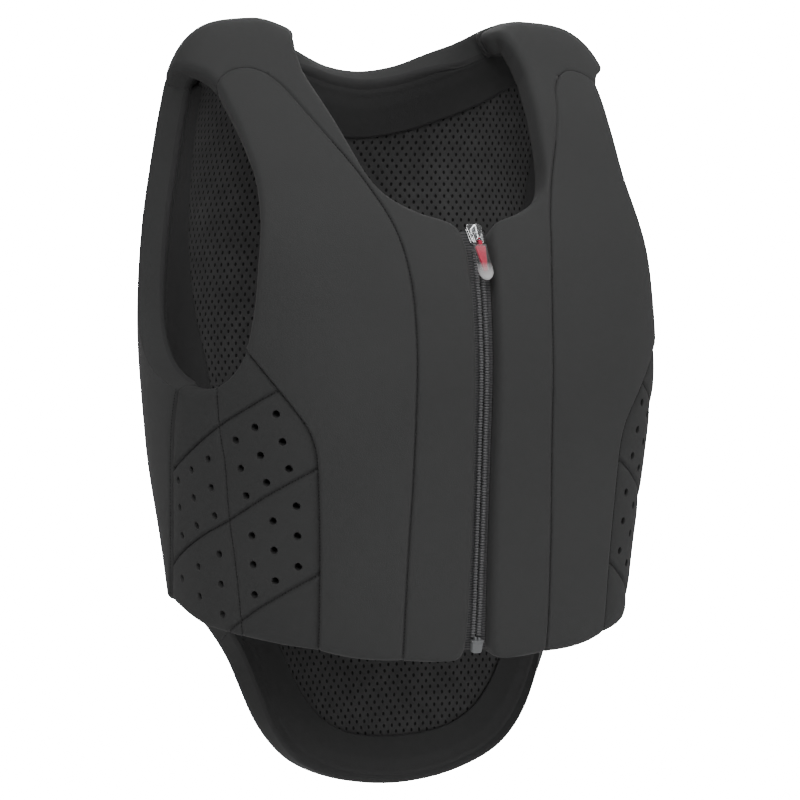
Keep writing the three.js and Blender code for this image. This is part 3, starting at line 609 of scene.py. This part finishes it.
def woven_tape(name, dark, light):
    """Ribbed tape: fine ribs across it with a random knit tone; its colour follows the ribs' height, a painted
    highlight on the raised threads and painted shade between them.
    """
    material, tree, shader = base_material(name, dark, 0.8, 0.05)
    point = on_object(tree)
    knit = place_group(tree, KNIT, point, Threads=900.0, Cloud=500.0)
    ribs = tree.nodes.new("ShaderNodeTexWave")
    ribs.bands_direction = "Z"
    for label, value in (("Vector", point), ("Scale", 170.0), ("Distortion", 1.2), ("Detail Scale", 8.0)):
        feed(tree, ribs.inputs[label], value)
    woven = math_node(tree, "MULTIPLY", knit.outputs["Tone"], 0.5)
    # this tone also sets the bump, so its lighter colour is painted highlight on the rib tops and its darker
    # colour is painted shade between them
    tone = math_node(tree, "MULTIPLY_ADD", ribs.outputs["Fac"], 0.5, woven)
    toned(tree, shader, tone, dark, light, 0.25, 0.85)
    bump(tree, shader, tone, 0.5, 0.0005)
    return material


def plastic(name, color, rough):
    """Moulded plastic with a faint mottle in its colour and surface."""
    material, tree, shader = base_material(name, color, rough, specular=0.5)
    grain = noise(tree, on_object(tree), 900.0)
    tree.links.new(blend(tree, grain, shade(color, 0.85), shade(color, 1.15)), shader.inputs["Base Color"])
    bump(tree, shader, grain, 0.08, 0.0002)
    return material


def clear_moulding(name, color, thin, thick):
    """Clear moulded plastic: see-through over the core and milky in its thick end; its edges are painted whiter
    where the surface turns from view, a painted reflection.
    """
    material, tree, shader = base_material(name, color, 0.15, specular=0.35)
    milk = fade(tree, height_of(tree, on_object(tree)), thin, thick, 0.0, 0.45)
    edges = tree.nodes.new("ShaderNodeLayerWeight")
    edges.inputs["Blend"].default_value = 0.35
    # painted reflection: the edges grow whiter as the surface turns from view
    edge_on = math_node(tree, "MULTIPLY", edges.outputs["Facing"], 0.2)
    tree.links.new(math_node(tree, "ADD", milk, edge_on, clamp=True), shader.inputs["Alpha"])
    return material


def metal(name, color, rough):
    """Cast and tumbled metal: some of it a little rougher."""
    material, tree, shader = base_material(name, color, rough, metallic=1.0)
    grain = noise(tree, on_object(tree), 420.0, 3.0)
    tree.links.new(fade(tree, grain, 0.0, 1.0, rough * 0.7, rough * 1.5), shader.inputs["Roughness"])
    return material


SHELL_CLOTH = cloth("shell_cloth", (0.043, 0.0435, 0.0435), (0.049, 0.0495, 0.0495), 0.85, 0.06)
SIDE_CLOTH = cloth("side_cloth", (0.041, 0.0415, 0.0415), (0.047, 0.0475, 0.0475), 0.92, 0.04,
                   threads=1100.0, strength=0.4)
FACING_CLOTH = cloth("facing_cloth", (0.037, 0.037, 0.0375), (0.042, 0.042, 0.0425), 0.85, 0.04)
# the second colour is painted shade in the mesh's holes
MESH_CLOTH = mesh_cloth("mesh_cloth", (0.052, 0.052, 0.052), (0.0010, 0.0010, 0.0010))
# the lighter colour shows on the rib tops as painted highlight
TAPE_CLOTH = woven_tape("zip_tape_cloth", (0.045, 0.045, 0.046), (0.115, 0.115, 0.118))
THREAD = cloth("seam_thread", (0.008, 0.008, 0.008), (0.013, 0.013, 0.013), 0.7, 0.05)
COIL = plastic("zip_coil_nylon", (0.115, 0.115, 0.118), 0.42)
BOX_PLASTIC = plastic("end_box_plastic", (0.16, 0.165, 0.17), 0.35)
SLIDER_METAL = metal("slider_metal", (0.78, 0.79, 0.80), 0.16)
RED_GRIP = plastic("crimson_grip", (0.55, 0.010, 0.055), 0.4)
# its edges carry a painted reflection
CLEAR_GRIP = clear_moulding("clear_grip", (0.85, 0.85, 0.86), -.149, -.1585)


# the soft panels
SIDES = (("right", mirrored), ("left", lambda points: points))
TONGUE_CUT = 0.45  # the seam over the tongue is shallower than the others


def front_centre(side):
    """The centre front: up the chest beside the zip, then over the shoulder as the strap."""
    across = [TONGUE_FOOT, PRINCESS[-1]]
    low = coons(edge((side(HEM_FRONT), 1)), edge((side(across), 1)),
                edge((side(ZIP_EDGE), 9), (side(NECK_FRONT), 6)), edge((side(PRINCESS), 1)))
    high = coons(edge((side(across), 1), (side(TONGUE), 1)), edge((side(YOKE[::-1]), 1)),
                 edge((side(NECK_SHOULDER), 1)), edge((side(STRAP_EDGE), 1)))
    return low, high


def joined_patches(low, high, columns, rows_low, rows_high, split, extra_columns):
    """Grids of two areas whose shared border has the same points, with rows at the marks on free borders."""
    low_row, low_column = across_lengths(low)
    high_row, high_column = across_lengths(high)
    hem = marks_in(low_column(0.5))
    low_t = np.concatenate([hem, np.linspace(hem[-1], 1, rows_low + 1)[1:]])
    grids = []
    s = np.stack([spread(low_row(t), columns) for t in low_t])
    t = np.broadcast_to(low_t[:, None], s.shape)
    p = low(s, t)
    grids.append((p, {**distances(p[..., 0], p[..., 1]), "north": np.full_like(s, FAR), "s": s, "t": t}))
    inner = np.stack([np.interp(f, [0, 1], [0, split]) for f in s[-1]])
    end = marks_in(high_row(0.0))
    rest = np.linspace(split, 1 - end[-1], extra_columns + 1)[1:-1]
    first = np.concatenate([inner, rest, 1 - end[::-1]])
    yoke = marks_in(high_column(0.5))
    high_t = np.concatenate([np.linspace(0, 1 - yoke[-1], rows_high + 1)[:-1], 1 - yoke[::-1]])
    near = len(MARKS)
    rows = []
    for k, f in enumerate(high_t):
        far = high_row(f)
        west, east = marks_in(far), 1 - marks_in(far)[::-1]
        middle = first[near:-near]
        middle = west[-1] + (middle - first[near - 1]) / (first[-near] - first[near - 1]) * (east[0] - west[-1])
        rows.append(first if k == 0 else np.concatenate([west, middle, east]))
    s = np.stack(rows)
    t = np.broadcast_to(high_t[:, None], s.shape)
    p = high(s, t)
    far = distances(p[..., 0], p[..., 1])
    edge_on = len(inner) - 1
    aside = np.maximum(far["west"][:, edge_on:edge_on + 1] - far["west"], 0)
    grids.append((p, {**far, "south": np.hypot(far["south"], aside), "s": s, "t": t}))
    return grids


def centre_object(name, side):
    """The centre front pad; its strap starts across the chest part's top and on along the tongue."""
    low, high = front_centre(side)
    grids = joined_patches(low, high, columns=18, rows_low=90, rows_high=34, split=0.5, extra_columns=16)
    frees = ({"west": 1.0, "east": 0.0, "south": 1.0, "north": 0.0},
             {"west": 1.0, "east": 1.0, "south": 0.0, "north": 0.0, "south_cut": TONGUE_CUT})
    patches = [(p[..., 0], p[..., 1], far, free) for (p, far), free in zip(grids, frees)]
    return pad_object(name, patches, SHELL_CLOTH)


SIDE_PUFF, PUFF_REACH, GROOVE_CUT, GROOVE_WIDE = 1.7, 7, 2.1, 1.1
SIDE_SHAPE = {"round": 4, "cut": 1.2, "valley": 0.6}
HOLE_WIDE, PIN_SPARE = 5.6, 4


def hole_places():
    """Turn and rise of each perforation."""
    spots = []
    for top_a, top_b, foot_a, foot_b, rows in HOLE_FIELDS:
        for row, count in enumerate(rows):
            for along in np.arange(count) / 2:
                north = np.array(top_a) * (1 - along) + np.array(top_b) * along
                south = np.array(foot_a) * (1 - along) + np.array(foot_b) * along
                spots.append(north * (1 - row / 2) + south * row / 2)
    return spots


def hole_pins(side):
    """One pin through the pad for each perforation of a side."""
    bm = bmesh.new()
    for spot in hole_places():
        turn, rise = side([tuple(spot)])[0]
        radius = HOLE_WIDE / 2 * MM
        bmesh.ops.create_cone(bm, cap_ends=True, segments=20, radius1=radius, radius2=radius,
                              depth=(SIDE_WALL + 2 * PIN_SPARE) * MM,
                              matrix=stand(turn, rise, SIDE_SUNK + SIDE_WALL / 2))
    bmesh.ops.recalc_face_normals(bm, faces=bm.faces)
    mesh = bpy.data.meshes.new("hole_pins")
    bm.to_mesh(mesh)
    bm.free()
    return mesh


def side_object(name, side):
    """A perforated side pad, puffed up between its sewn grooves."""
    area = four_lines(side(HEM_SIDE), side(ARM_BOTTOM), side(SIDE_FRONT), side(SIDE_BACK))
    turn, rise, far = panel_grid(area, columns=110, rows=170)
    grooves = [side(line) for line in GROOVES]

    def swell(turn, rise, far):
        near = near_lines(turn, rise, grooves)
        rim_near = np.minimum(np.minimum(far["west"], far["east"]), np.minimum(far["south"], far["north"]))
        full = 1 - np.exp(-np.minimum(near, rim_near) / PUFF_REACH)
        return GROOVE_CUT * np.exp(-(near / GROOVE_WIDE) ** 2) - SIDE_PUFF * full

    free = {"west": 0.0, "east": 0.0, "south": 1.0, "north": 1.0}
    pad = pad_object(name, [(turn, rise, far, free)], SIDE_CLOTH, outer=SIDE_SUNK, wall=SIDE_WALL, round_in=3,
                     shape=SIDE_SHAPE, extra=swell)
    cut_through(pad, hole_pins(side))
    return pad


def after(limit):
    """1 past a fraction of an edge and 0 before it, with a short ease."""
    return lambda f: np.clip((f - limit) / 0.02 + 0.5, 0, 1)


def stands_for(obj, node):
    """The object takes the CAD node's place: the CAD node is hidden."""
    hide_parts(node)


SEAM_SHARE = 7 / 15  # how much of an armhole side's length is sewn, below the armhole

for name, side in SIDES:
    pad = centre_object(f"front_centre_pad_{name}", side)
    stands_for(pad, f"front_centre_{name}")

    area = coons(edge((side(HEM_MIDDLE), 1)), edge((side(TONGUE), 1)), edge((side(PRINCESS), 1)),
                 edge((side(SIDE_FRONT), 7), (side(ARM_FRONT), 8)))
    turn, rise, far = panel_grid(area, columns=34, rows=96)
    free = {"west": 0.0, "east": after(SEAM_SHARE), "south": 1.0, "north": 0.0, "north_cut": TONGUE_CUT}
    pad = pad_object(f"front_side_pad_{name}", [(turn, rise, far, free)], SHELL_CLOTH)
    stands_for(pad, f"front_side_{name}")

    pad = side_object(f"side_pad_{name}", side)
    stands_for(pad, f"side_panel_{name}")


def neck_only(f):
    """1 along the neck and 0 along the yoke seams beside it."""
    return np.clip((0.2 - np.abs(f - 0.5)) / 0.01 + 0.5, 0, 1)


west = edge((SIDE_BACK, 7), (ARM_BACK, 8))
east = edge((mirrored(SIDE_BACK), 7), (mirrored(ARM_BACK), 8))
shoulders = edge((YOKE, 6), (both_ways(NECK_BACK), 8), (mirrored(YOKE)[::-1], 6))
area = coons(edge((both_ways(TAIL_EDGE), 1)), shoulders, west, east)
turn, rise, far = panel_grid(area, columns=120, rows=130)
free = {"west": after(SEAM_SHARE), "east": after(SEAM_SHARE), "south": 1.0, "north": neck_only}
pad = pad_object("back_pad", [(turn, rise, far, free)], SHELL_CLOTH)
stands_for(pad, "back_panel")


# mesh linings and plain facings inside
NECK_TOP = [(126, .973), (136, .960), (146, .943), (154, .925), (161, .907), (168, .892), (174, .883),
            (180, .879)]
NECK_LOW = [(123.5, .930), (134, .900), (143, .877), (152, .857), (161, .840), (170, .825), (180, .817)]
ARM_RIM = [(94, .553), (102, .570), (109.5, .596), (115, .635), (117.6, .68), (118.3, .74), (117.7, .80),
           (115.4, .84), (110.5, .871)]
ARM_SEAM = [(150, .50), (147.5, .56), (143, .62), (138.5, .68), (134.5, .74), (130.5, .80), (127, .845),
            (124, .878)]
ARM_FOOT = [(94, .553), (110, .535), (130, .515), (150, .50)]
ARM_HEAD = [(110.5, .871), (117, .880), (124, .878)]
TAIL_RIM = [(112.5, .318), (118, .312), (124, .300), (129.5, .278), (133.5, .250), (137, .216), (140, .178),
            (143.5, .138), (147.8, .104), (153.5, .075), (161.5, .052), (170, .037), (180, .031)]
TAIL_SEAM = [(131, .325), (140, .296), (146.5, .259), (150, .224), (152.5, .190), (155.7, .157), (160.5, .127),
             (168, .104), (180, .095)]
MESH_FOOT = [(127, .318), (136.5, .287), (143.3, .250), (146.9, .214), (149.5, .180), (153, .146),
             (158.6, .115), (167, .091), (180, .081)]
MESH_SIDE = [(127, .318), (114, .338), (108, .385), (103.5, .43), (101, .475), (101, .52), (105, .56),
             (112, .59), (118, .62), (121.5, .66), (123, .72), (122.5, .78), (120.5, .83), (118.5, .868)]
MESH_HEAD = [(118.5, .868), (121, .900), (127, .925), (134, .910), (143, .888), (152, .868), (161, .851),
             (170, .836), (180, .828)]
FRONT_MESH_FOOT = [(8, .285), (17.6, .286), (28, .290), (36, .296)]
FRONT_MESH_ZIP = [(8, .285), (6.5, .34), (5, .42), (5, .56), (5.5, .64), (6.5, .69), (9, .72)]
FRONT_MESH_SIDE = [(36, .296), (35.5, .34), (34.8, .40), (34.4, .46), (36, .51), (41, .55), (46.5, .585),
                   (49, .62), (47.4, .684), (45.8, .728), (45.4, .774), (47.5, .815)]
FRONT_MESH_HEAD = [(9, .72), (14, .735), (18.5, .752), (22, .78), (26, .808), (32, .83), (40, .835),
                   (47.5, .815)]
LINING, FACING = 1.0, 0.9
LINING_DEPTH = WALL + 0.3


def over_mesh(across):
    """A facing's depth: its rim goes into the pad's edge, and its seam lies on the mesh."""
    return WALL - 1.2 + 1.5 * ease(across, 0.0, 0.16) + 1.3 * ease(across, 0.16, 0.5)


area = four_lines(both_ways(MESH_FOOT), both_ways(MESH_HEAD), MESH_SIDE, mirrored(MESH_SIDE))
lining = thin_sheet("back_mesh", area, 70, 100, MESH_CLOTH, LINING_DEPTH, LINING)
stands_for(lining, "lining_back")

for name, side in SIDES:
    area = four_lines(side(FRONT_MESH_FOOT), side(FRONT_MESH_HEAD), side(FRONT_MESH_ZIP), side(FRONT_MESH_SIDE))
    lining = thin_sheet(f"front_mesh_{name}", area, 30, 60, MESH_CLOTH, LINING_DEPTH, LINING)
    stands_for(lining, f"lining_front_{name}")

    area = four_lines(side(ARM_FOOT), side(ARM_HEAD), side(ARM_RIM), side(ARM_SEAM))
    facing = thin_sheet(f"arm_facing_{name}", area, 36, 60, FACING_CLOTH, lambda s, t: over_mesh(s), FACING)
    stands_for(facing, f"armhole_facing_{name}")

for name, node, rim_line, seam_line, columns in (("tail_band", "tail_facing", TAIL_RIM, TAIL_SEAM, 140),
                                                 ("neck_band", "neck_facing", NECK_TOP, NECK_LOW, 90)):
    end = [rim_line[0], seam_line[0]]
    area = four_lines(both_ways(rim_line), both_ways(seam_line), end, mirrored(end))
    facing = thin_sheet(name, area, columns, 24, FACING_CLOTH, lambda s, t: over_mesh(t), FACING)
    stands_for(facing, node)


# the zip
ZIP_FOOT, ZIP_TOP, TAPE_DEPTH, TAPE = .283, .724, 8.8, 1.2
TAPE_INNER = [(.25, ZIP_FOOT), (.25, .5), (.25, ZIP_TOP)]
TAPE_OUTER = [(2.7, ZIP_FOOT), (2.35, .31), (2.1, .36), (1.95, .42), (1.95, .56), (2.05, .64), (2.25, .69),
              (2.5, ZIP_TOP)]
for name, side in SIDES:
    foot, head = [TAPE_INNER[0], TAPE_OUTER[0]], [TAPE_INNER[-1], TAPE_OUTER[-1]]
    area = four_lines(side(foot), side(head), side(TAPE_INNER), side(TAPE_OUTER))
    tape = thin_sheet(f"tape_{name}", area, 10, 120, TAPE_CLOTH, TAPE_DEPTH, TAPE)
    stands_for(tape, f"zip_tape_{name}")

# nylon ribs: pitch, reach across, offset from the middle, height, depth, and where the rows end
RIB_PITCH, RIB_REACH, RIB_OFF, RIB_HIGH, RIB_DEPTH = 2.0, 3.9, 2.35, 1.25, 7.9
RIB_LINE = [(0, .2985), (0, .5), (0, .7045)]


def zip_ribs():
    """Two rows of rounded nylon ribs, half a pitch apart, with the dark line where they meet."""
    bm = bmesh.new()
    centre = smooth_line(RIB_LINE)
    reach = lengths(centre)
    for row, hand in enumerate((-1, 1)):
        for k in range(int(reach[-1] / RIB_PITCH)):
            rise = np.interp((k + 0.5 * row + 0.25) * RIB_PITCH, reach, centre[:, 1])
            at = stand(0, rise, RIB_DEPTH) @ shift(hand * RIB_OFF)
            size = Matrix.Diagonal((RIB_REACH * MM, RIB_PITCH * 1.04 * MM, RIB_HIGH * 2 * MM, 1))
            bmesh.ops.create_uvsphere(bm, u_segments=8, v_segments=5, radius=0.5, matrix=at @ size)
    return finished("zip_ribs", bm, COIL)


stands_for(zip_ribs(), "zip_teeth")


# small hard parts
def rounded_outline(wide_top, wide_foot, tall, corner, steps=5):
    """A flat outline with rounded corners, wider at its top or its foot."""
    points = []
    for hand, end, start in ((1, -1, -90), (1, 1, 0), (-1, 1, 90), (-1, -1, 180)):
        half = (wide_top if end > 0 else wide_foot) / 2 - corner
        for k in range(steps + 1):
            a = math.radians(start + 90 * k / steps)
            out, up = corner * math.cos(a), corner * math.sin(a)
            points.append((hand * half + out, end * (tall / 2 - corner) + up))
    return points


def slab(outline, thick, soften, opening=None):
    """A flat moulded or cast shape, centred, with softened rims and perhaps an opening."""
    bm = bmesh.new()

    def loop(points):
        verts = [bm.verts.new((x * MM, y * MM, 0)) for x, y in points]
        return verts, [bm.edges.new((a, b)) for a, b in zip(verts, verts[1:] + verts[:1])]

    verts, edges = loop(outline)
    if opening:
        bmesh.ops.bridge_loops(bm, edges=edges + loop(opening)[1])
    else:
        bm.faces.new(verts)
    bmesh.ops.recalc_face_normals(bm, faces=bm.faces)
    bmesh.ops.solidify(bm, geom=bm.faces[:], thickness=thick * MM)
    bmesh.ops.recalc_face_normals(bm, faces=bm.faces)
    middle = sum(v.co.z for v in bm.verts) / len(bm.verts)
    bmesh.ops.translate(bm, verts=bm.verts, vec=(0, 0, -middle))
    rims = [e for e in bm.edges if len(e.link_faces) == 2 and e.calc_face_angle() > 0.7]
    bmesh.ops.bevel(bm, geom=rims, offset=soften * MM, segments=3, profile=0.5, affect="EDGES", material=-1)
    return bm


def add(bm, part, place):
    """Puts a made part into a bigger one."""
    bmesh.ops.transform(part, matrix=place, verts=part.verts)
    step = bpy.data.meshes.new("step")
    part.to_mesh(step)
    part.free()
    bm.from_mesh(step)
    bpy.data.meshes.remove(step)


# each outline is its widths at the top and foot, its height and its corners; then thickness and softening
BOX_AT = stand(0, .2895, 5.75)
bm = bmesh.new()
add(bm, slab(rounded_outline(8.6, 7.4, 8.2, 1.6), 4.0, 0.5), BOX_AT @ shift(0, -1.2, 0))
add(bm, slab(rounded_outline(9.6, 9.0, 1.8, 0.7), 4.6, 0.4), BOX_AT @ shift(0, 3.2, 0))
add(bm, slab(rounded_outline(1.7, 1.7, 3.6, 0.6), 2.4, 0.4), BOX_AT @ shift(-1.5, 4.6, 0))
add(bm, slab(rounded_outline(1.7, 1.7, 3.0, 0.6), 2.4, 0.4), BOX_AT @ shift(1.5, 4.4, 0))
stands_for(finished("end_box", bm, BOX_PLASTIC, hard=True), "zip_box")

# the slider's front and back plates, the wedge between them, and the bridge over the front
SLIDER_AT = stand(0, .7185, 6.15)
PIVOT_AT = SLIDER_AT @ shift(0, -0.6, 4.15)
ARCH = [(-5.9, -0.6), (-5.9, 3.4), (-5.2, 4.5), (-3.8, 4.6), (3.8, 4.6), (5.2, 4.5), (5.9, 3.4), (5.9, -0.6),
        (4.6, -0.6), (4.6, 2.8), (4.0, 3.3), (-4.0, 3.3), (-4.6, 2.8), (-4.6, -0.6)]
TURN_UP = Matrix(((0, 0, 1, 0), (1, 0, 0, 0), (0, 1, 0, 0), (0, 0, 0, 1)))
bm = bmesh.new()
add(bm, slab(rounded_outline(12.4, 8.8, 15, 2.4), 1.5, 0.45), SLIDER_AT @ shift(0, 0, 1.2))
add(bm, slab(rounded_outline(11.4, 8.8, 14.4, 2.4), 1.3, 0.4), SLIDER_AT @ shift(0, 0, -1.3))
add(bm, slab(rounded_outline(2.6, 2.0, 12.0, 0.8), 2.4, 0.3), SLIDER_AT)
add(bm, slab(ARCH, 2.4, 0.35), SLIDER_AT @ shift(0, 0, 1.95) @ TURN_UP)
stands_for(finished("slider", bm, SLIDER_METAL, hard=True), "zip_slider")

# the puller's link, and its core with the eye that goes through the link
LINK_TALL, LINK_BAR = 9.6, 1.4
link_outline = rounded_outline(8.4, 7.4, LINK_TALL, 2.2)
link_opening = rounded_outline(5.6, 4.6, LINK_TALL - 2 * LINK_BAR, 1.2)
bm = bmesh.new()
add(bm, slab(link_outline, LINK_BAR, 0.4, link_opening), PIVOT_AT @ shift(0, -LINK_TALL / 2 + LINK_BAR / 2, 0))
stands_for(finished("pull_link", bm, SLIDER_METAL, body="puller", hard=True), "puller_link")

EYE = -LINK_TALL + LINK_BAR
CORE_TALL, CORE_DOWN = 21.0, 2.4
core_outline = rounded_outline(7.6, 2.6, CORE_TALL, 1.25, 8)
eye_outline, eye_opening = rounded_outline(4.6, 4.6, 3.8, 1.85, 6), rounded_outline(2.9, 2.9, 2.4, 1.15, 6)
bm = bmesh.new()
add(bm, slab(core_outline, 2.4, 0.6), PIVOT_AT @ shift(0, EYE - CORE_DOWN - CORE_TALL / 2, 0))
add(bm, slab(eye_outline, 3.0, 0.6, eye_opening),
    PIVOT_AT @ shift(0, EYE, 0) @ Matrix.Rotation(math.radians(90), 4, "Y"))
stands_for(finished("pull_core", bm, RED_GRIP, body="puller", hard=True), "puller_core")

# the clear drop: half widths and half thicknesses down its length, outside, then the same for its pocket
DROP_OUT = [(0, 4.9, 2.4), (6, 4.9, 2.45), (12, 5.1, 2.5), (17, 5.6, 2.6), (20, 5.7, 2.6), (22.5, 5.3, 2.5),
            (24.4, 4.4, 2.2), (25.9, 3.1, 1.7), (26.8, 1.6, 1.1), (27.1, 0.3, 0.3)]
DROP_IN = [(0, 4.2, 1.6), (12, 3.2, 1.6), (17, 2.7, 1.6), (21.5, 2.0, 1.5), (22.4, 1.0, 0.8)]
DROP_DOWN = 1.9  # from the eye to the drop's top
SQUARE = 2.6  # 2 would make the drop's section an ellipse


def clear_drop():
    """A closed shell: down the outside of the drop, and back up its pocket."""
    bm = bmesh.new()
    top = EYE - DROP_DOWN
    loops = []
    for down, wide, thick in DROP_IN[::-1] + DROP_OUT:
        ring = bmesh.ops.create_circle(bm, segments=32, radius=1.0)["verts"]
        for v in ring:
            a = math.atan2(v.co.y, v.co.x)
            x, z = math.cos(a), math.sin(a)
            square = (abs(x) ** SQUARE + abs(z) ** SQUARE) ** (-1 / SQUARE)
            v.co = Vector((wide * x * square, top - down, thick * z * square)) * MM
        loops.append(list({e for v in ring for e in v.link_edges}))
    for one, two in zip(loops, loops[1:]):
        bmesh.ops.bridge_loops(bm, edges=one + two)
    for ends in (loops[0], loops[-1]):
        bmesh.ops.contextual_create(bm, geom=ends)
    bmesh.ops.transform(bm, matrix=PIVOT_AT, verts=bm.verts)
    return finished("pull_drop", bm, CLEAR_GRIP, body="puller")


stands_for(clear_drop(), "puller_cover")


# stitches: each sewn line, how much of it shows its thread, and how deep that lies
STITCH_PITCH, STITCH_LONG, STITCH_WIDE, STITCH_HIGH = 2.6, 1.5, 0.75, 0.6
SEWN = [(PRINCESS, 0.84, 1.3), (SIDE_FRONT, 1.0, 1.3), (SIDE_BACK, 1.0, 1.3)] + [
    (groove, 1.0, SIDE_SUNK + 0.9) for groove in GROOVES]


def stitch_rows():
    """Short dark stitches in the valleys of the seams."""
    bm = bmesh.new()
    for _, side in SIDES:
        for points, end, depth in SEWN:
            dense = smooth_line(side(points), 300)
            reach = lengths(dense)
            for k in range(int(end * reach[-1] / STITCH_PITCH)):
                here, there = ([np.interp((k + at) * STITCH_PITCH, reach, dense[:, n]) for n in (0, 1)]
                               for at in (0.5, 0.6))
                place = stand(*here, depth)
                along = place.inverted() @ Vector(MM * shell(*there))
                lean = Matrix.Rotation(math.atan2(along.y, along.x), 4, "Z")
                size = Matrix.Diagonal((STITCH_LONG * MM, STITCH_WIDE * MM, STITCH_HIGH * MM, 1))
                bmesh.ops.create_icosphere(bm, subdivisions=1, radius=0.5, matrix=place @ lean @ size)
    return finished("seam_stitches", bm, THREAD)


stitch_rows()


# stage, light and camera
WHITE = 30.0  # bright enough to come out white
FLOOR_SIZE, FLOOR_DOWN = 12, 1.2  # metres
# lamps: place in metres, size and watts; they point at the middle of the vest
LAMPS = {
    "key": ((-1.6, -2.4, 2.0), 2.2, 84),
    "fill": ((2.2, -2.0, 0.9), 2.0, 34),
    "top": ((0.0, 0.3, 2.4), 2.5, 22),
    "rear": ((1.0, 2.6, 1.2), 2.2, 60),
}
LIT = Vector((0, -0.04, -0.25))
CAMERA_AT, LOOKS_AT = Vector((-1.1833, -2.5747, 0.050)), Vector((0, -0.037, -0.261))
LENS, ROLL, SHIFT_UP = 171.0, 1.2, -0.002


def seen_white(tree, surface, out):
    """White to the camera, whatever light falls there, and the given surface to everything else."""
    bright = tree.nodes.new("ShaderNodeEmission")
    bright.inputs["Strength"].default_value = WHITE
    path = tree.nodes.new("ShaderNodeLightPath")
    mix = tree.nodes.new("ShaderNodeMixShader")
    tree.links.new(path.outputs["Is Camera Ray"], mix.inputs[0])
    tree.links.new(surface, mix.inputs[1])
    tree.links.new(bright.outputs[0], mix.inputs[2])
    tree.links.new(mix.outputs[0], out.inputs["Surface"])


def pale_floor():
    bm = bmesh.new()
    bmesh.ops.create_grid(bm, x_segments=2, y_segments=2, size=FLOOR_SIZE)
    bmesh.ops.translate(bm, verts=bm.verts, vec=(0, 0, -FLOOR_DOWN))
    mesh = bpy.data.meshes.new("floor")
    bm.to_mesh(mesh)
    bm.free()
    material, tree, shader = base_material("pale_floor", (0.9, 0.9, 0.9), 0.9)
    seen_white(tree, shader.outputs[0], tree.nodes["Material Output"])
    mesh.materials.append(material)
    in_scene("floor", mesh)


def soft_light():
    """A studio that is brighter overhead, and four large lamps."""
    world = bpy.data.worlds.new("studio")
    bpy.context.scene.world = world
    world.use_nodes = True
    tree = world.node_tree
    back = tree.nodes["Background"]
    up = height_of(tree, tree.nodes.new("ShaderNodeTexCoord").outputs["Generated"])
    tree.links.new(fade(tree, up, -0.5, 0.7, 0.2, 2.1), back.inputs["Strength"])
    seen_white(tree, back.outputs[0], tree.nodes["World Output"])
    for label, (place, size, power) in LAMPS.items():
        lamp = bpy.data.lights.new(label, "AREA")
        lamp.size = size
        lamp.energy = power
        light = in_scene(label, lamp)
        light.location = place
        light.rotation_mode = "QUATERNION"
        light.rotation_quaternion = (Vector(place) - LIT).to_track_quat("Z", "Y")


def photo_camera():
    data = bpy.data.cameras.new("camera")
    data.sensor_width = 36
    data.lens = LENS
    data.shift_y = SHIFT_UP
    camera = in_scene("camera", data)
    camera.location = CAMERA_AT
    camera.rotation_mode = "QUATERNION"
    aim = (CAMERA_AT - LOOKS_AT).to_track_quat("Z", "Y")
    camera.rotation_quaternion = aim @ Matrix.Rotation(math.radians(ROLL), 3, "Z").to_quaternion()
    bpy.context.scene.camera = camera


pale_floor()
soft_light()
photo_camera()
